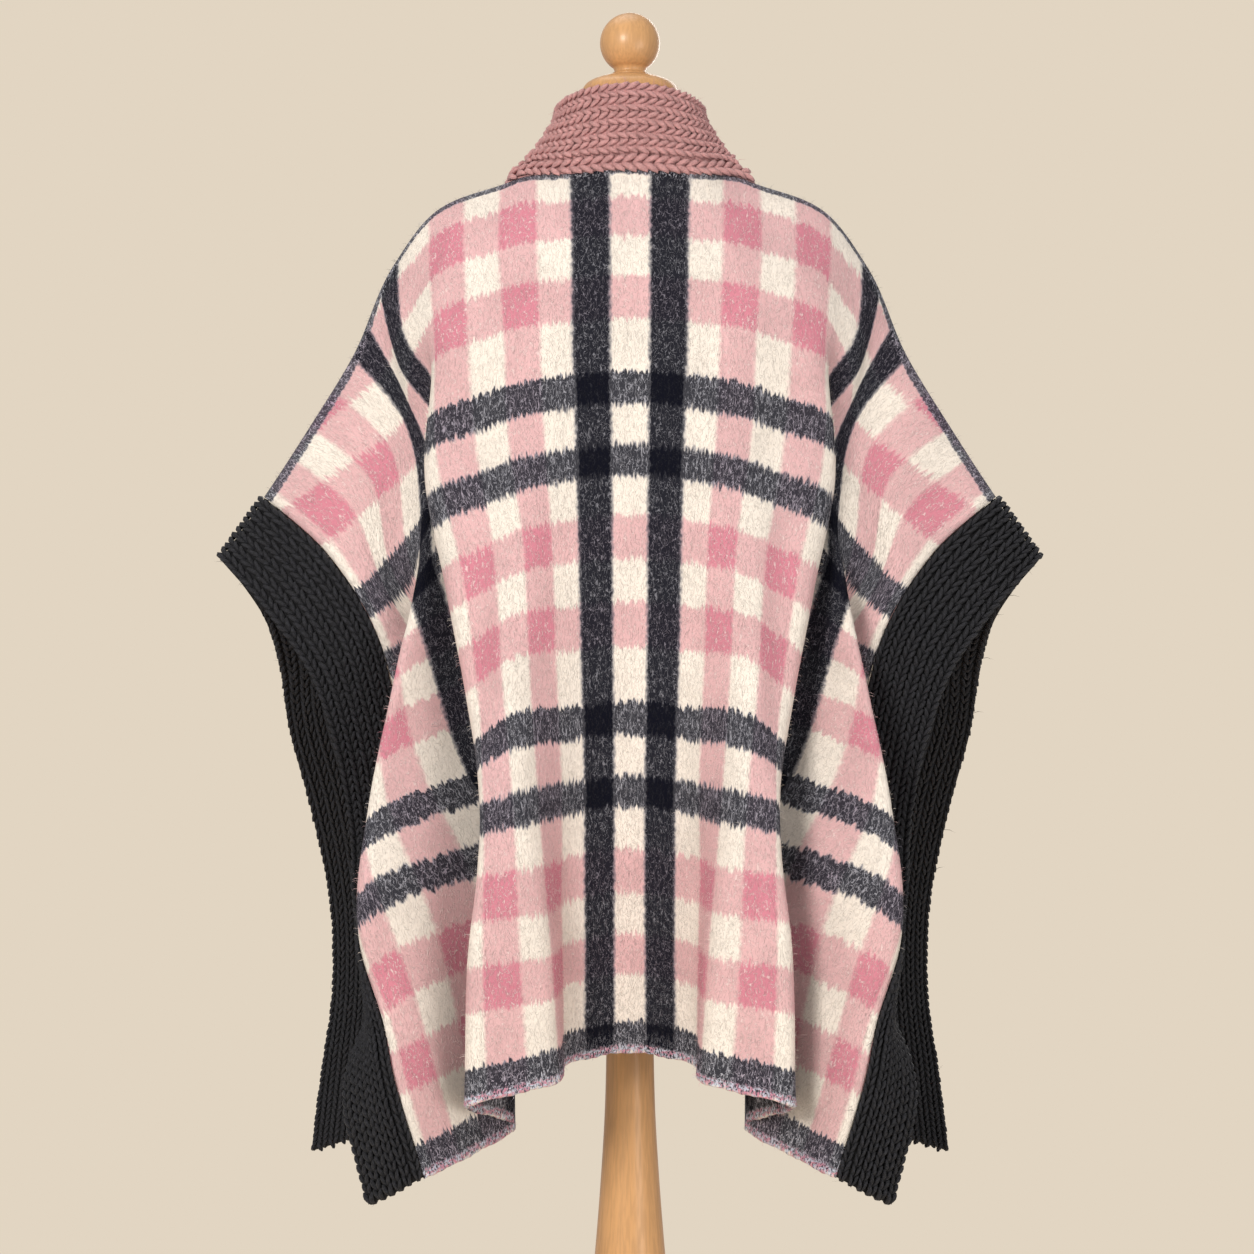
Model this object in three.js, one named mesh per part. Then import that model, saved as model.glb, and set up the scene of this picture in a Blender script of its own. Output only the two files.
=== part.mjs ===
// Knitted poncho sweater resting on a limbless wooden dress form.
// Millimetres, +Z up. The garment's front faces -Y and the wearer's left is +X.
// The origin is the centre of the base's underside.
import * as THREE from "three";

// Cloth sizes, measured on the flat pieces
const HEM = 842;            // shoulder line to hem
const SEAM = 480;           // centre line to the band seam
const EDGE = 554;           // centre line to the band's outer edge
const NECK = 112;           // half width of the neck opening
const SHOULDER = 205;       // where the sleeve's top cut begins
const SLEEVE_SLOPE = 0.327; // fall of the top cut for each mm across
const BACK_SCOOP = 10;
const FRONT_SCOOP = 85;
const CLOTH = 3;            // panel thickness
const SEAM_GAP = 0.8;

// Rib bands and collar
const BAND_INSIDE = 1.5;    // band below the panel's inner face
const BAND_VALLEY = 4;      // outer face in the groove between two ribs
const RIB_RISE = 2.6;
const BAND_RIBS = 6;
const COLLAR_WALL = 9;
const COLLAR_RIBS = 7;
const COLLAR_LAP = 9;       // collar foot laid over the panels
const FOOT_GAP = 1.1;
const RIM = { wide: 67, back: 64, front: 68, high: 1425, drop: 34 };

// Heights down the cloth, as a share of the length, at which the fold lines are given
const LEVELS = [0, 0.1, 0.2, 0.3, 0.42, 0.55, 0.7, 0.85, 1];

// Half-cloth fold lines from the centre out to the band's edge.
// Every row is [u, x, y, z]: distance across the flat cloth, then the place in space.
const BACK_FOLDS = {
  centre: [[0, 0, 62, 1350], [0, 0, 96, 1268], [0, 0, 110, 1187], [0, 0, 114, 1106], [0, 0, 112, 1006],
    [0, 0, 107, 896], [0, 0, 97, 771], [0, 0, 89, 642], [0, 0, 86, 530]],
  blade: [[60, 62, 50, 1347], [60, 60, 90, 1267], [60, 59, 106, 1185], [60, 56, 113, 1103],
    [60, 53, 114, 1003], [60, 51, 112, 893], [60, 48, 113, 767], [60, 48, 112, 638],
    [60, 49, 112, 526]],
  neck: [[112, 111, 18, 1338], [122, 120, 78, 1264], [128, 119, 99, 1181], [135, 121, 104, 1094],
    [140, 110, 124, 992], [150, 110, 142, 886], [150, 101, 174, 761], [140, 84, 184, 630],
    [140, 76, 182, 513]],
  crest: [[190, 187, 4, 1308], [190, 183, 56, 1240], [198, 180, 78, 1157], [213, 187, 77, 1066],
    [213, 165, 106, 963], [203, 144, 132, 860], [188, 127, 180, 754], [198, 134, 200, 625],
    [206, 136, 200, 501]],
  valley: [[240, 222, 0, 1262], [228, 208, 44, 1198], [228, 178, 58, 1144], [262, 172, 52, 1030],
    [280, 157, 54, 924], [280, 133, 70, 829], [303, 104, 88, 716], [325, 106, 88, 588],
    [340, 108, 70, 457]],
  flare: [[330, 261, 0, 1175], [330, 210, 36, 1113], [330, 192, 58, 1032], [332, 198, 68, 956],
    [380, 214, 106, 864], [437, 233, 138, 752], [474, 238, 176, 641], [444, 190, 172, 545],
    [432, 154, 152, 442]],
  tuck: [[400, 302, 0, 1108], [400, 242, 36, 1058], [395, 222, 40, 980], [390, 180, 24, 908],
    [435, 194, 62, 828], [485, 216, 94, 718], [512, 234, 148, 613], [492, 218, 188, 530],
    [486, 187, 190, 431]],
  seam: [[480, 345, 0, 1042], [480, 287, 30, 993], [480, 243, 46, 929], [480, 222, 48, 866],
    [495, 220, 48, 780], [520, 236, 68, 690], [534, 229, 128, 600], [522, 233, 174, 518],
    [520, 208, 184, 418]],
  edge: [[554, 387, 0, 983], [554, 342, 30, 934], [554, 300, 44, 876], [554, 278, 48, 816],
    [554, 262, 48, 738], [554, 253, 60, 658], [554, 228, 112, 588], [554, 254, 150, 502],
    [554, 233, 160, 403]],
};
const FRONT_FOLDS = {
  centre: [[0, 0, -66, 1288], [0, 0, -100, 1226], [0, 0, -122, 1156], [0, 0, -131, 1082],
    [0, 0, -131, 992], [0, 0, -126, 895], [0, 0, -119, 782], [0, 0, -114, 668], [0, 0, -111, 553]],
  blade: [[60, 66, -46, 1300], [60, 61, -89, 1243], [60, 59, -116, 1168], [60, 57, -128, 1088],
    [60, 54, -132, 994], [60, 52, -131, 896], [60, 50, -131, 782], [60, 49, -131, 668],
    [60, 50, -130, 552]],
  neck: [[112, 111, 18, 1338], [124, 121, -44, 1285], [130, 121, -88, 1215], [135, 119, -114, 1132],
    [140, 114, -136, 1028], [148, 114, -157, 917], [150, 110, -178, 790], [150, 105, -190, 665],
    [150, 104, -196, 540]],
  crest: [[190, 187, 4, 1308], [190, 183, -54, 1255], [198, 182, -84, 1178], [208, 184, -98, 1090],
    [212, 172, -126, 984], [212, 162, -154, 872], [212, 156, -180, 750], [212, 154, -198, 628],
    [212, 154, -204, 504]],
  valley: [[240, 222, 0, 1262], [234, 210, -42, 1206], [246, 192, -58, 1136], [264, 180, -60, 1034],
    [270, 158, -80, 940], [278, 144, -96, 828], [290, 134, -110, 706], [300, 132, -120, 584],
    [306, 132, -122, 460]],
  flare: [[330, 261, 0, 1175], [330, 216, -38, 1112], [330, 200, -58, 1034], [334, 198, -66, 953],
    [360, 204, -92, 862], [378, 204, -124, 750], [386, 198, -146, 628], [388, 192, -158, 520],
    [390, 188, -162, 432]],
  tuck: [[400, 302, 0, 1108], [400, 252, -42, 1056], [400, 232, -62, 984], [400, 232, -74, 903],
    [424, 244, -118, 812], [436, 238, -150, 710], [444, 232, -164, 602], [446, 232, -164, 506],
    [446, 234, -156, 424]],
  seam: [[480, 345, 0, 1042], [480, 302, -42, 992], [480, 280, -80, 938], [480, 282, -112, 858],
    [484, 268, -150, 770], [486, 258, -176, 676], [486, 252, -176, 582], [484, 252, -158, 494],
    [484, 256, -136, 418]],
  edge: [[554, 387, 0, 983], [554, 354, -50, 930], [554, 344, -98, 880], [554, 340, -136, 820],
    [554, 322, -176, 734], [554, 306, -202, 642], [554, 303, -200, 550], [554, 312, -172, 468],
    [554, 318, -140, 398]],
};
const OPEN_LINES = ["centre", "blade"];   // lines that start at the neck edge, not on the shoulder ridge
const NECK_LINE = 2;                      // place of the neck line in each table
const RIDGE_PULL = 0.55;                  // roundness of the cloth over the shoulder ridge

const BACK = { folds: BACK_FOLDS, scoop: BACK_SCOOP, side: 1, footTurn: 3 };
const FRONT = { folds: FRONT_FOLDS, scoop: FRONT_SCOOP, side: -1, footTurn: 1.5 };

// Dress form: sections of the torso. mid is where a section is widest, and the powers are
// its squareness: 2 is round, 1 is straight from the side to the middle.
const TORSO = [
  { z: 1426, wide: 44, back: 44, front: 44, mid: 0, backPower: 2, frontPower: 2 },
  { z: 1400, wide: 46, back: 46, front: 46, mid: 0, backPower: 2, frontPower: 2 },
  { z: 1366, wide: 49, back: 49, front: 49, mid: 0, backPower: 2, frontPower: 2 },
  { z: 1347, wide: 60, back: 52, front: 50, mid: 5, backPower: 1.8, frontPower: 1.7 },
  { z: 1334, wide: 100, back: 56, front: 42, mid: 15, backPower: 1.4, frontPower: 1.05 },
  { z: 1320, wide: 146, back: 62, front: 38, mid: 10, backPower: 1.2, frontPower: 1 },
  { z: 1300, wide: 182, back: 70, front: 48, mid: 4, backPower: 1.25, frontPower: 1.05 },
  { z: 1272, wide: 196, back: 78, front: 62, mid: 0, backPower: 1.4, frontPower: 1.2 },
  { z: 1230, wide: 190, back: 88, front: 84, mid: 0, backPower: 1.7, frontPower: 1.5 },
  { z: 1170, wide: 172, back: 96, front: 106, mid: 0, backPower: 2, frontPower: 1.8 },
  { z: 1100, wide: 158, back: 100, front: 116, mid: 0, backPower: 2, frontPower: 2 },
  { z: 1020, wide: 138, back: 94, front: 108, mid: 0, backPower: 2, frontPower: 2 },
  { z: 950, wide: 122, back: 86, front: 92, mid: 0, backPower: 2, frontPower: 2 },
  { z: 880, wide: 128, back: 88, front: 96, mid: 0, backPower: 2, frontPower: 2 },
  { z: 800, wide: 146, back: 88, front: 102, mid: 0, backPower: 2, frontPower: 2 },
  { z: 720, wide: 150, back: 82, front: 98, mid: 0, backPower: 2, frontPower: 2 },
  { z: 700, wide: 142, back: 74, front: 90, mid: 0, backPower: 2, frontPower: 2 },
];

// Turned parts: [radius, z] from the bottom up
const CAP_PROFILE = [[45, 1426.3], [45, 1430], [42, 1435], [33, 1440], [21, 1443.5]];
const BALL = { radius: 28.5, z: 1474.5, neck: 15, foot: 1443.8 };
const POST_PROFILE = [[42, 30.3], [47, 60], [49, 110], [46, 190], [39, 270], [33, 330], [27.5, 400],
  [24, 460], [22.5, 520], [22, 620], [22, 699.7]];
const BASE_PROFILE = [[180, 0], [186, 5], [186, 20], [180, 27], [168, 30]];

const WOOD = material("honey wood", 0xd9a066, 0.45);
const DUSTY_PINK = material("collar yarn", 0xc08a8c, 0.95);
const CHARCOAL = material("band yarn", 0x2b2c31, 0.95);
const PLAID = material("plaid knit", 0xe6b9c2, 0.95);
const LINEN = material("form cloth", 0xd8ccb8, 0.9);

function material(name, color, roughness) {
  return new THREE.MeshStandardMaterial({ name, color, roughness });
}

// Cubic curve through rows of values given at uneven stations.
// At the corner station the slope is that of the span after it.
function curveThrough(stations, rows, at, startSlope, corner = -1) {
  const last = stations.length - 1;
  let i = 0;
  while (i < last - 1 && at > stations[i + 1]) i += 1;
  const step = (k) => stations[k + 1] - stations[k];
  const chord = (k, c) => (rows[k + 1][c] - rows[k][c]) / step(k);
  const slope = (k, c) => {
    if (k === 0) return startSlope ? startSlope[c] : chord(0, c);
    if (k === last) return chord(last - 1, c);
    if (k === corner) return chord(k, c);
    const share = step(k) / (step(k - 1) + step(k));
    return chord(k - 1, c) * share + chord(k, c) * (1 - share);
  };
  const h = step(i);
  const t = (at - stations[i]) / h;
  const t2 = t * t;
  const t3 = t2 * t;
  return rows[i].map((value, c) => (2 * t3 - 3 * t2 + 1) * value + (t3 - 2 * t2 + t) * h * slope(i, c)
    + (3 * t2 - 2 * t3) * rows[i + 1][c] + (t3 - t2) * h * slope(i + 1, c));
}

// Where the cloth's top edge lies on the flat piece
function topEdge(panel, u) {
  if (u < NECK) return panel.scoop * (1 - (u / NECK) ** 2);
  return u > SHOULDER ? (Math.min(u, SEAM) - SHOULDER) * SLEEVE_SLOPE : 0;
}

// The place of one cloth point: u across from the centre, t from the top edge to the hem
function clothPoint(panel, u, t) {
  const rows = Object.entries(panel.folds).map(([name, line]) => {
    const ridge = OPEN_LINES.includes(name) ? null : [0, 0, panel.side * RIDGE_PULL * HEM, 0];
    return curveThrough(LEVELS, line, t, ridge);
  });
  const across = rows.map((row) => row[0]);
  const level = [1, rows[1][1] / rows[1][0], 0, 0];
  const [, x, y, z] = curveThrough(across, rows, Math.abs(u), level, NECK_LINE);
  return new THREE.Vector3(u < 0 ? -x : x, y, z);
}

function clothNormal(panel, u, t) {
  const du = 0.5;
  const dt = 0.0005;
  const high = Math.min(Math.abs(u) + du, EDGE);
  const low = Math.max(Math.abs(u) - du, 0);
  const start = Math.max(t - dt, 0);
  const end = Math.min(start + 2 * dt, 1);
  const across = clothPoint(panel, high, t).sub(clothPoint(panel, low, t));
  const down = clothPoint(panel, Math.abs(u), end).sub(clothPoint(panel, Math.abs(u), start));
  const normal = across.cross(down).multiplyScalar(panel.side).normalize();
  if (u < 0) normal.x = -normal.x;
  if (u === 0) normal.x = 0;
  return normal.normalize();
}

// A cloth point moved out of the cloth's inner face, square to the cloth at the given place
function raised(panel, u, t, out, squareTo = u) {
  return clothPoint(panel, u, t).addScaledVector(clothNormal(panel, squareTo, t), out);
}

// Closed solid from loops of points: each loop is one closed section, ends capped or joined up
function solidFromLoops(loops, joined) {
  const count = loops[0].length;
  const points = loops.flat();
  const faces = [];
  const spans = joined ? loops.length : loops.length - 1;
  for (let i = 0; i < spans; i += 1) {
    const a = i * count;
    const b = ((i + 1) % loops.length) * count;
    for (let j = 0; j < count; j += 1) {
      const k = (j + 1) % count;
      faces.push([a + j, b + j, b + k], [a + j, b + k, a + k]);
    }
  }
  return { points, faces, count };
}

function fan(faces, start, count, centre, flip) {
  for (let j = 0; j < count; j += 1) {
    const a = start + j;
    const b = start + ((j + 1) % count);
    faces.push(flip ? [centre, b, a] : [centre, a, b]);
  }
}

function geometryOf(points, faces) {
  const geometry = new THREE.BufferGeometry();
  const places = points.flatMap((p) => [p.x, p.y, p.z]);
  geometry.setAttribute("position", new THREE.Float32BufferAttribute(places, 3));
  geometry.setIndex(faces.flat());
  if (signedVolume(points, faces) < 0) geometry.setIndex(faces.flatMap(([a, b, c]) => [a, c, b]));
  geometry.computeVertexNormals();
  return geometry;
}

function signedVolume(points, faces) {
  const cross = new THREE.Vector3();
  const volume = ([a, b, c]) => points[a].dot(cross.crossVectors(points[b], points[c]));
  return faces.reduce((sum, face) => sum + volume(face), 0);
}

// Two triangles, split along the shorter diagonal
function quad(points, a, b, c, d) {
  if (points[a].distanceTo(points[c]) <= points[b].distanceTo(points[d])) return [[a, b, c], [a, c, d]];
  return [[a, b, d], [b, c, d]];
}

// Closed wall from an outer and an inner sheet, which may have different numbers of columns
function wallGeometry(outer, inner) {
  const rows = outer.length;
  const wide = outer[0].length;
  const thin = inner[0].length;
  const points = [...outer.flat(), ...inner.flat()];
  const out = (i, j) => i * wide + j;
  const into = (i, j) => rows * wide + i * thin + j;
  const faces = [];
  for (let i = 0; i < rows - 1; i += 1) {
    for (let j = 0; j < wide - 1; j += 1) {
      faces.push(...quad(points, out(i, j), out(i + 1, j), out(i + 1, j + 1), out(i, j + 1)));
    }
    for (let j = 0; j < thin - 1; j += 1) {
      faces.push(...quad(points, into(i, j), into(i, j + 1), into(i + 1, j + 1), into(i + 1, j)));
    }
    faces.push([out(i, 0), into(i, 0), into(i + 1, 0)], [out(i, 0), into(i + 1, 0), out(i + 1, 0)]);
    const w = wide - 1;
    const n = thin - 1;
    faces.push([out(i, w), into(i + 1, n), into(i, n)], [out(i, w), out(i + 1, w), into(i + 1, n)]);
  }
  closeEnd(faces, (j) => out(0, j), wide, (j) => into(0, j), thin, false);
  closeEnd(faces, (j) => out(rows - 1, j), wide, (j) => into(rows - 1, j), thin, true);
  return geometryOf(points, faces);
}

// Strip of triangles between two edges with different numbers of points
function closeEnd(faces, first, firstCount, second, secondCount, flip) {
  let a = 0;
  let b = 0;
  while (a < firstCount - 1 || b < secondCount - 1) {
    const behind = (a + 1) / (firstCount - 1) <= (b + 1) / (secondCount - 1);
    const stepFirst = b === secondCount - 1 || (a < firstCount - 1 && behind);
    const face = stepFirst ? [first(a), first(a + 1), second(b)] : [first(a), second(b + 1), second(b)];
    faces.push(flip ? [face[0], face[2], face[1]] : face);
    if (stepFirst) a += 1;
    else b += 1;
  }
}

const NECK_COLUMNS = [0, 16, 32, 48, 64, 80, 94, 104, NECK];
const SIDE_COLUMNS = [128, 146, 163, 179, 194, 209, 224, 240, 257, 276, 297, 319, 341, 363, 384,
  404, 424, 443, 462, SEAM];
const HALF_COLUMNS = [...NECK_COLUMNS, ...SIDE_COLUMNS];
const ROWS = [0, 0.035, 0.075, 0.12, 0.17, 0.22, 0.28, 0.34, 0.39, 0.43, 0.47, 0.51, 0.55, 0.6,
  0.66, 0.73, 0.8, 0.87, 0.94, 1];

function mirrored(columns) {
  return [...columns.slice(1).reverse().map((u) => -u), ...columns];
}

function panelGeometry(panel) {
  const columns = mirrored(HALF_COLUMNS);
  const rows = ROWS.map((t, i) => (i === 0 ? SEAM_GAP / HEM / RIDGE_PULL / 2 : t));
  const sheet = (out) => rows.map((t) => columns.map((u) => raised(panel, u, t, out)));
  return wallGeometry(sheet(CLOTH), sheet(0));
}

// One band: front hem, up over the cuff and down to the back hem
function bandGeometry(hand) {
  const path = [...ROWS.slice(1).reverse().map((t) => [FRONT, t]), ...ROWS.map((t) => [BACK, t])];
  const first = SEAM + SEAM_GAP;
  const last = EDGE;
  const width = last - first;
  const ribs = BAND_RIBS * 2;
  const outer = path.map(([panel, t]) => Array.from({ length: ribs + 1 }, (_, j) => {
    const u = first + (width * j) / ribs;
    const out = j === 0 ? CLOTH : BAND_VALLEY + (j % 2) * RIB_RISE;
    return raised(panel, hand * u, t, out, hand * (j ? u : SEAM));
  }));
  const inner = path.map(([panel, t]) => [0, 0.5, 1].map((share) => {
    const u = first + width * share;
    return raised(panel, hand * u, t, share ? -BAND_INSIDE : 0, hand * (share ? u : SEAM));
  }));
  return wallGeometry(outer, inner);
}

// Place of the collar's foot: it turns from straight down the cloth to along the shoulder
function collarFoot(panel, u) {
  const turn = (Math.abs(u) / NECK) ** panel.footTurn * Math.PI / 2;
  const across = Math.abs(u) + COLLAR_LAP * Math.sin(turn);
  const down = topEdge(panel, Math.abs(u)) + COLLAR_LAP * Math.cos(turn);
  const top = topEdge(panel, across);
  return raised(panel, u < 0 ? -across : across, Math.max(down - top, 0) / (HEM - top), CLOTH + FOOT_GAP);
}

// Collar: the foot lies on the panels' neck edge and the ribs climb to the rim
function collarGeometry() {
  const steps = mirrored(NECK_COLUMNS);
  const behind = steps.slice(0, -1).map((u) => [BACK, u]);
  const before = steps.slice(1).reverse().map((u) => [FRONT, u]);
  const around = [...behind, ...before];
  const climb = [[0, 0], [0.19, 0.29], [0.41, 0.58], [0.61, 0.77], [0.83, 0.94], [1, 1]];
  const loops = around.map(([panel, u]) => {
    const foot = collarFoot(panel, u);
    const lip = raised(panel, u, 0, CLOTH + FOOT_GAP);
    const hang = lip.clone().addScaledVector(lip.clone().sub(foot).normalize(), 4);
    const angle = Math.atan2(lip.y, lip.x);
    const deep = lip.y > 0 ? RIM.back : RIM.front;
    const scale = 1 / Math.hypot(Math.cos(angle) / RIM.wide, Math.sin(angle) / deep);
    const tilt = RIM.drop * (1 - Math.sin(angle)) / 2;
    const rim = new THREE.Vector3(Math.cos(angle) * scale, Math.sin(angle) * scale, RIM.high - tilt);
    const outward = new THREE.Vector3(Math.cos(angle), Math.sin(angle), 0);
    const outerAt = (s) => {
      const flare = curveThrough(climb.map((row) => row[0]), climb, s)[1];
      const flat = foot.clone().lerp(rim, flare);
      flat.z = foot.z + (rim.z - foot.z) * s;
      return flat;
    };
    const lean = (s) => {
      const up = outerAt(Math.min(s + 0.03, 1)).sub(outerAt(Math.max(s - 0.03, 0))).normalize();
      return outward.clone().addScaledVector(up, -outward.dot(up)).normalize();
    };
    const ribs = COLLAR_RIBS * 2;
    const ribbed = Array.from({ length: ribs }, (_, j) => {
      const s = 0.04 + (0.92 * j) / (ribs - 1);
      return outerAt(s).addScaledVector(lean(s), (j % 2) * RIB_RISE);
    });
    const top = rim.clone().addScaledVector(outward, -COLLAR_WALL / 2).setZ(rim.z + 3);
    const inner = [0.95, 0.68, 0.4].map((s) => outerAt(s).addScaledVector(lean(s), -COLLAR_WALL));
    return [foot, ...ribbed, top, ...inner, hang, lip];
  });
  const { points, faces } = solidFromLoops(loops, true);
  return geometryOf(points, faces);
}

// Rounded section of the dress form
function torsoLoop(section, count) {
  return Array.from({ length: count }, (_, i) => {
    const angle = (i / count) * Math.PI * 2;
    const c = Math.cos(angle);
    const s = Math.sin(angle);
    const deep = s > 0 ? section.back - section.mid : section.front + section.mid;
    const power = s > 0 ? section.backPower : section.frontPower;
    const reach = (Math.abs(c) ** power + Math.abs(s) ** power) ** (-1 / power);
    return new THREE.Vector3(section.wide * c * reach, section.mid + deep * s * reach, section.z);
  });
}

function torsoGeometry() {
  const { points, faces, count } = solidFromLoops(TORSO.map((section) => torsoLoop(section, 32)), false);
  const top = points.push(new THREE.Vector3(0, 0, TORSO[0].z)) - 1;
  const bottom = points.push(new THREE.Vector3(0, 0, TORSO.at(-1).z)) - 1;
  fan(faces, 0, count, top, false);
  fan(faces, (TORSO.length - 1) * count, count, bottom, true);
  return geometryOf(points, faces);
}

// Turned wooden part: closed at both ends on the axis
function turnedGeometry(profile, count = 28) {
  const loops = profile.map(([radius, z]) => Array.from({ length: count }, (_, i) => {
    const angle = (i / count) * Math.PI * 2;
    return new THREE.Vector3(radius * Math.cos(angle), radius * Math.sin(angle), z);
  }));
  const { points, faces } = solidFromLoops(loops, false);
  const bottom = points.push(new THREE.Vector3(0, 0, profile[0][1])) - 1;
  const top = points.push(new THREE.Vector3(0, 0, profile.at(-1)[1])) - 1;
  fan(faces, 0, count, bottom, false);
  fan(faces, (profile.length - 1) * count, count, top, true);
  return geometryOf(points, faces);
}

function ballProfile() {
  const low = Math.asin((BALL.neck + 1) / BALL.radius);
  const arc = Array.from({ length: 11 }, (_, i) => {
    const angle = low + (Math.PI - low - 0.12) * (i / 10);
    return [BALL.radius * Math.sin(angle), BALL.z - BALL.radius * Math.cos(angle)];
  });
  return [[BALL.neck + 3, BALL.foot], [BALL.neck, BALL.foot + 3], ...arc];
}

function add(group, name, geometry, mat) {
  const mesh = new THREE.Mesh(geometry, mat.clone());
  mesh.name = name;
  group.add(mesh);
}

const group = new THREE.Group();
group.name = "poncho_sweater_on_form";
add(group, "back_panel", panelGeometry(BACK), PLAID);
add(group, "front_panel", panelGeometry(FRONT), PLAID);
add(group, "left_arm_band", bandGeometry(1), CHARCOAL);
add(group, "right_arm_band", bandGeometry(-1), CHARCOAL);
add(group, "collar", collarGeometry(), DUSTY_PINK);
add(group, "form_torso", torsoGeometry(), LINEN);
add(group, "neck_cap", turnedGeometry(CAP_PROFILE), WOOD);
add(group, "finial", turnedGeometry(ballProfile()), WOOD);
add(group, "post", turnedGeometry(POST_PROFILE), WOOD);
add(group, "base", turnedGeometry(BASE_PROFILE, 40), WOOD);

export default group;
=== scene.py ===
import bpy
import numpy as np
from bpy.props import FloatProperty, FloatVectorProperty, IntProperty, PointerProperty
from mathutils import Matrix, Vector


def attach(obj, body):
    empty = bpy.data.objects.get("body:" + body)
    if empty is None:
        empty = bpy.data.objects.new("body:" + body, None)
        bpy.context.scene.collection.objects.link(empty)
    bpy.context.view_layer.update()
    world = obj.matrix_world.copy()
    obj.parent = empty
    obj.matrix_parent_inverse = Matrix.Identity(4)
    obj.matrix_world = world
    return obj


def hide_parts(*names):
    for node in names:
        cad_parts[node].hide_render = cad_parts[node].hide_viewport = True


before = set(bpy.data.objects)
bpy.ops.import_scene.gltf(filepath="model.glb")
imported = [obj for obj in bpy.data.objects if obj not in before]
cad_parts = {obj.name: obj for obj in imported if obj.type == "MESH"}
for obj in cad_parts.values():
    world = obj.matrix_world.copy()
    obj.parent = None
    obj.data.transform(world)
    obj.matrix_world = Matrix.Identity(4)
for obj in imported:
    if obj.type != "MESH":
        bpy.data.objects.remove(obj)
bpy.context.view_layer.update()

bl_info = {
    "name": "Knitted Poncho Sweater on a Dress Form",
    "version": (1, 0, 0),
    "blender": (4, 5, 0),
    "location": "View3D > Sidebar > Poncho",
    "description": "Brushed plaid poncho with rib bands and a funnel collar on a wooden dress form",
    "category": "Object",
}

MM = 0.001

# Sizes of the flat cloth in millimetres, as in the part's source
HEM = 842.0            # shoulder line to hem
SEAM = 480.0           # centre line to the band seam
EDGE = 554.0           # centre line to the band's outer edge
NECK = 112.0           # half width of the neck opening
SHOULDER = 205.0       # where the sleeve's top cut begins
SLEEVE_SLOPE = 0.327
CLOTH = 3.0
SEAM_GAP = 0.8
COLLAR_LAP = 9.0
RIDGE_PULL = 0.55      # roundness of the cloth over the shoulder ridge
NECK_LINE = 2          # place of the neck line in each table
LEVELS = np.array([0, 0.1, 0.2, 0.3, 0.42, 0.55, 0.7, 0.85, 1])

# Fold lines of half the cloth from the centre out: rows of u across the flat cloth, then x, y, z
BACK_FOLDS = {
    "centre": [(0, 0, 62, 1350), (0, 0, 96, 1268), (0, 0, 110, 1187), (0, 0, 114, 1106), (0, 0, 112, 1006),
               (0, 0, 107, 896), (0, 0, 97, 771), (0, 0, 89, 642), (0, 0, 86, 530)],
    "blade": [(60, 62, 50, 1347), (60, 60, 90, 1267), (60, 59, 106, 1185), (60, 56, 113, 1103),
              (60, 53, 114, 1003), (60, 51, 112, 893), (60, 48, 113, 767), (60, 48, 112, 638), (60, 49, 112, 526)],
    "neck": [(112, 111, 18, 1338), (122, 120, 78, 1264), (128, 119, 99, 1181), (135, 121, 104, 1094),
             (140, 110, 124, 992), (150, 110, 142, 886), (150, 101, 174, 761), (140, 84, 184, 630),
             (140, 76, 182, 513)],
    "crest": [(190, 187, 4, 1308), (190, 183, 56, 1240), (198, 180, 78, 1157), (213, 187, 77, 1066),
              (213, 165, 106, 963), (203, 144, 132, 860), (188, 127, 180, 754), (198, 134, 200, 625),
              (206, 136, 200, 501)],
    "valley": [(240, 222, 0, 1262), (228, 208, 44, 1198), (228, 178, 58, 1144), (262, 172, 52, 1030),
               (280, 157, 54, 924), (280, 133, 70, 829), (303, 104, 88, 716), (325, 106, 88, 588),
               (340, 108, 70, 457)],
    "flare": [(330, 261, 0, 1175), (330, 210, 36, 1113), (330, 192, 58, 1032), (332, 198, 68, 956),
              (380, 214, 106, 864), (437, 233, 138, 752), (474, 238, 176, 641), (444, 190, 172, 545),
              (432, 154, 152, 442)],
    "tuck": [(400, 302, 0, 1108), (400, 242, 36, 1058), (395, 222, 40, 980), (390, 180, 24, 908),
             (435, 194, 62, 828), (485, 216, 94, 718), (512, 234, 148, 613), (492, 218, 188, 530),
             (486, 187, 190, 431)],
    "seam": [(480, 345, 0, 1042), (480, 287, 30, 993), (480, 243, 46, 929), (480, 222, 48, 866),
             (495, 220, 48, 780), (520, 236, 68, 690), (534, 229, 128, 600), (522, 233, 174, 518),
             (520, 208, 184, 418)],
    "edge": [(554, 387, 0, 983), (554, 342, 30, 934), (554, 300, 44, 876), (554, 278, 48, 816),
             (554, 262, 48, 738), (554, 253, 60, 658), (554, 228, 112, 588), (554, 254, 150, 502),
             (554, 233, 160, 403)],
}
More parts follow.
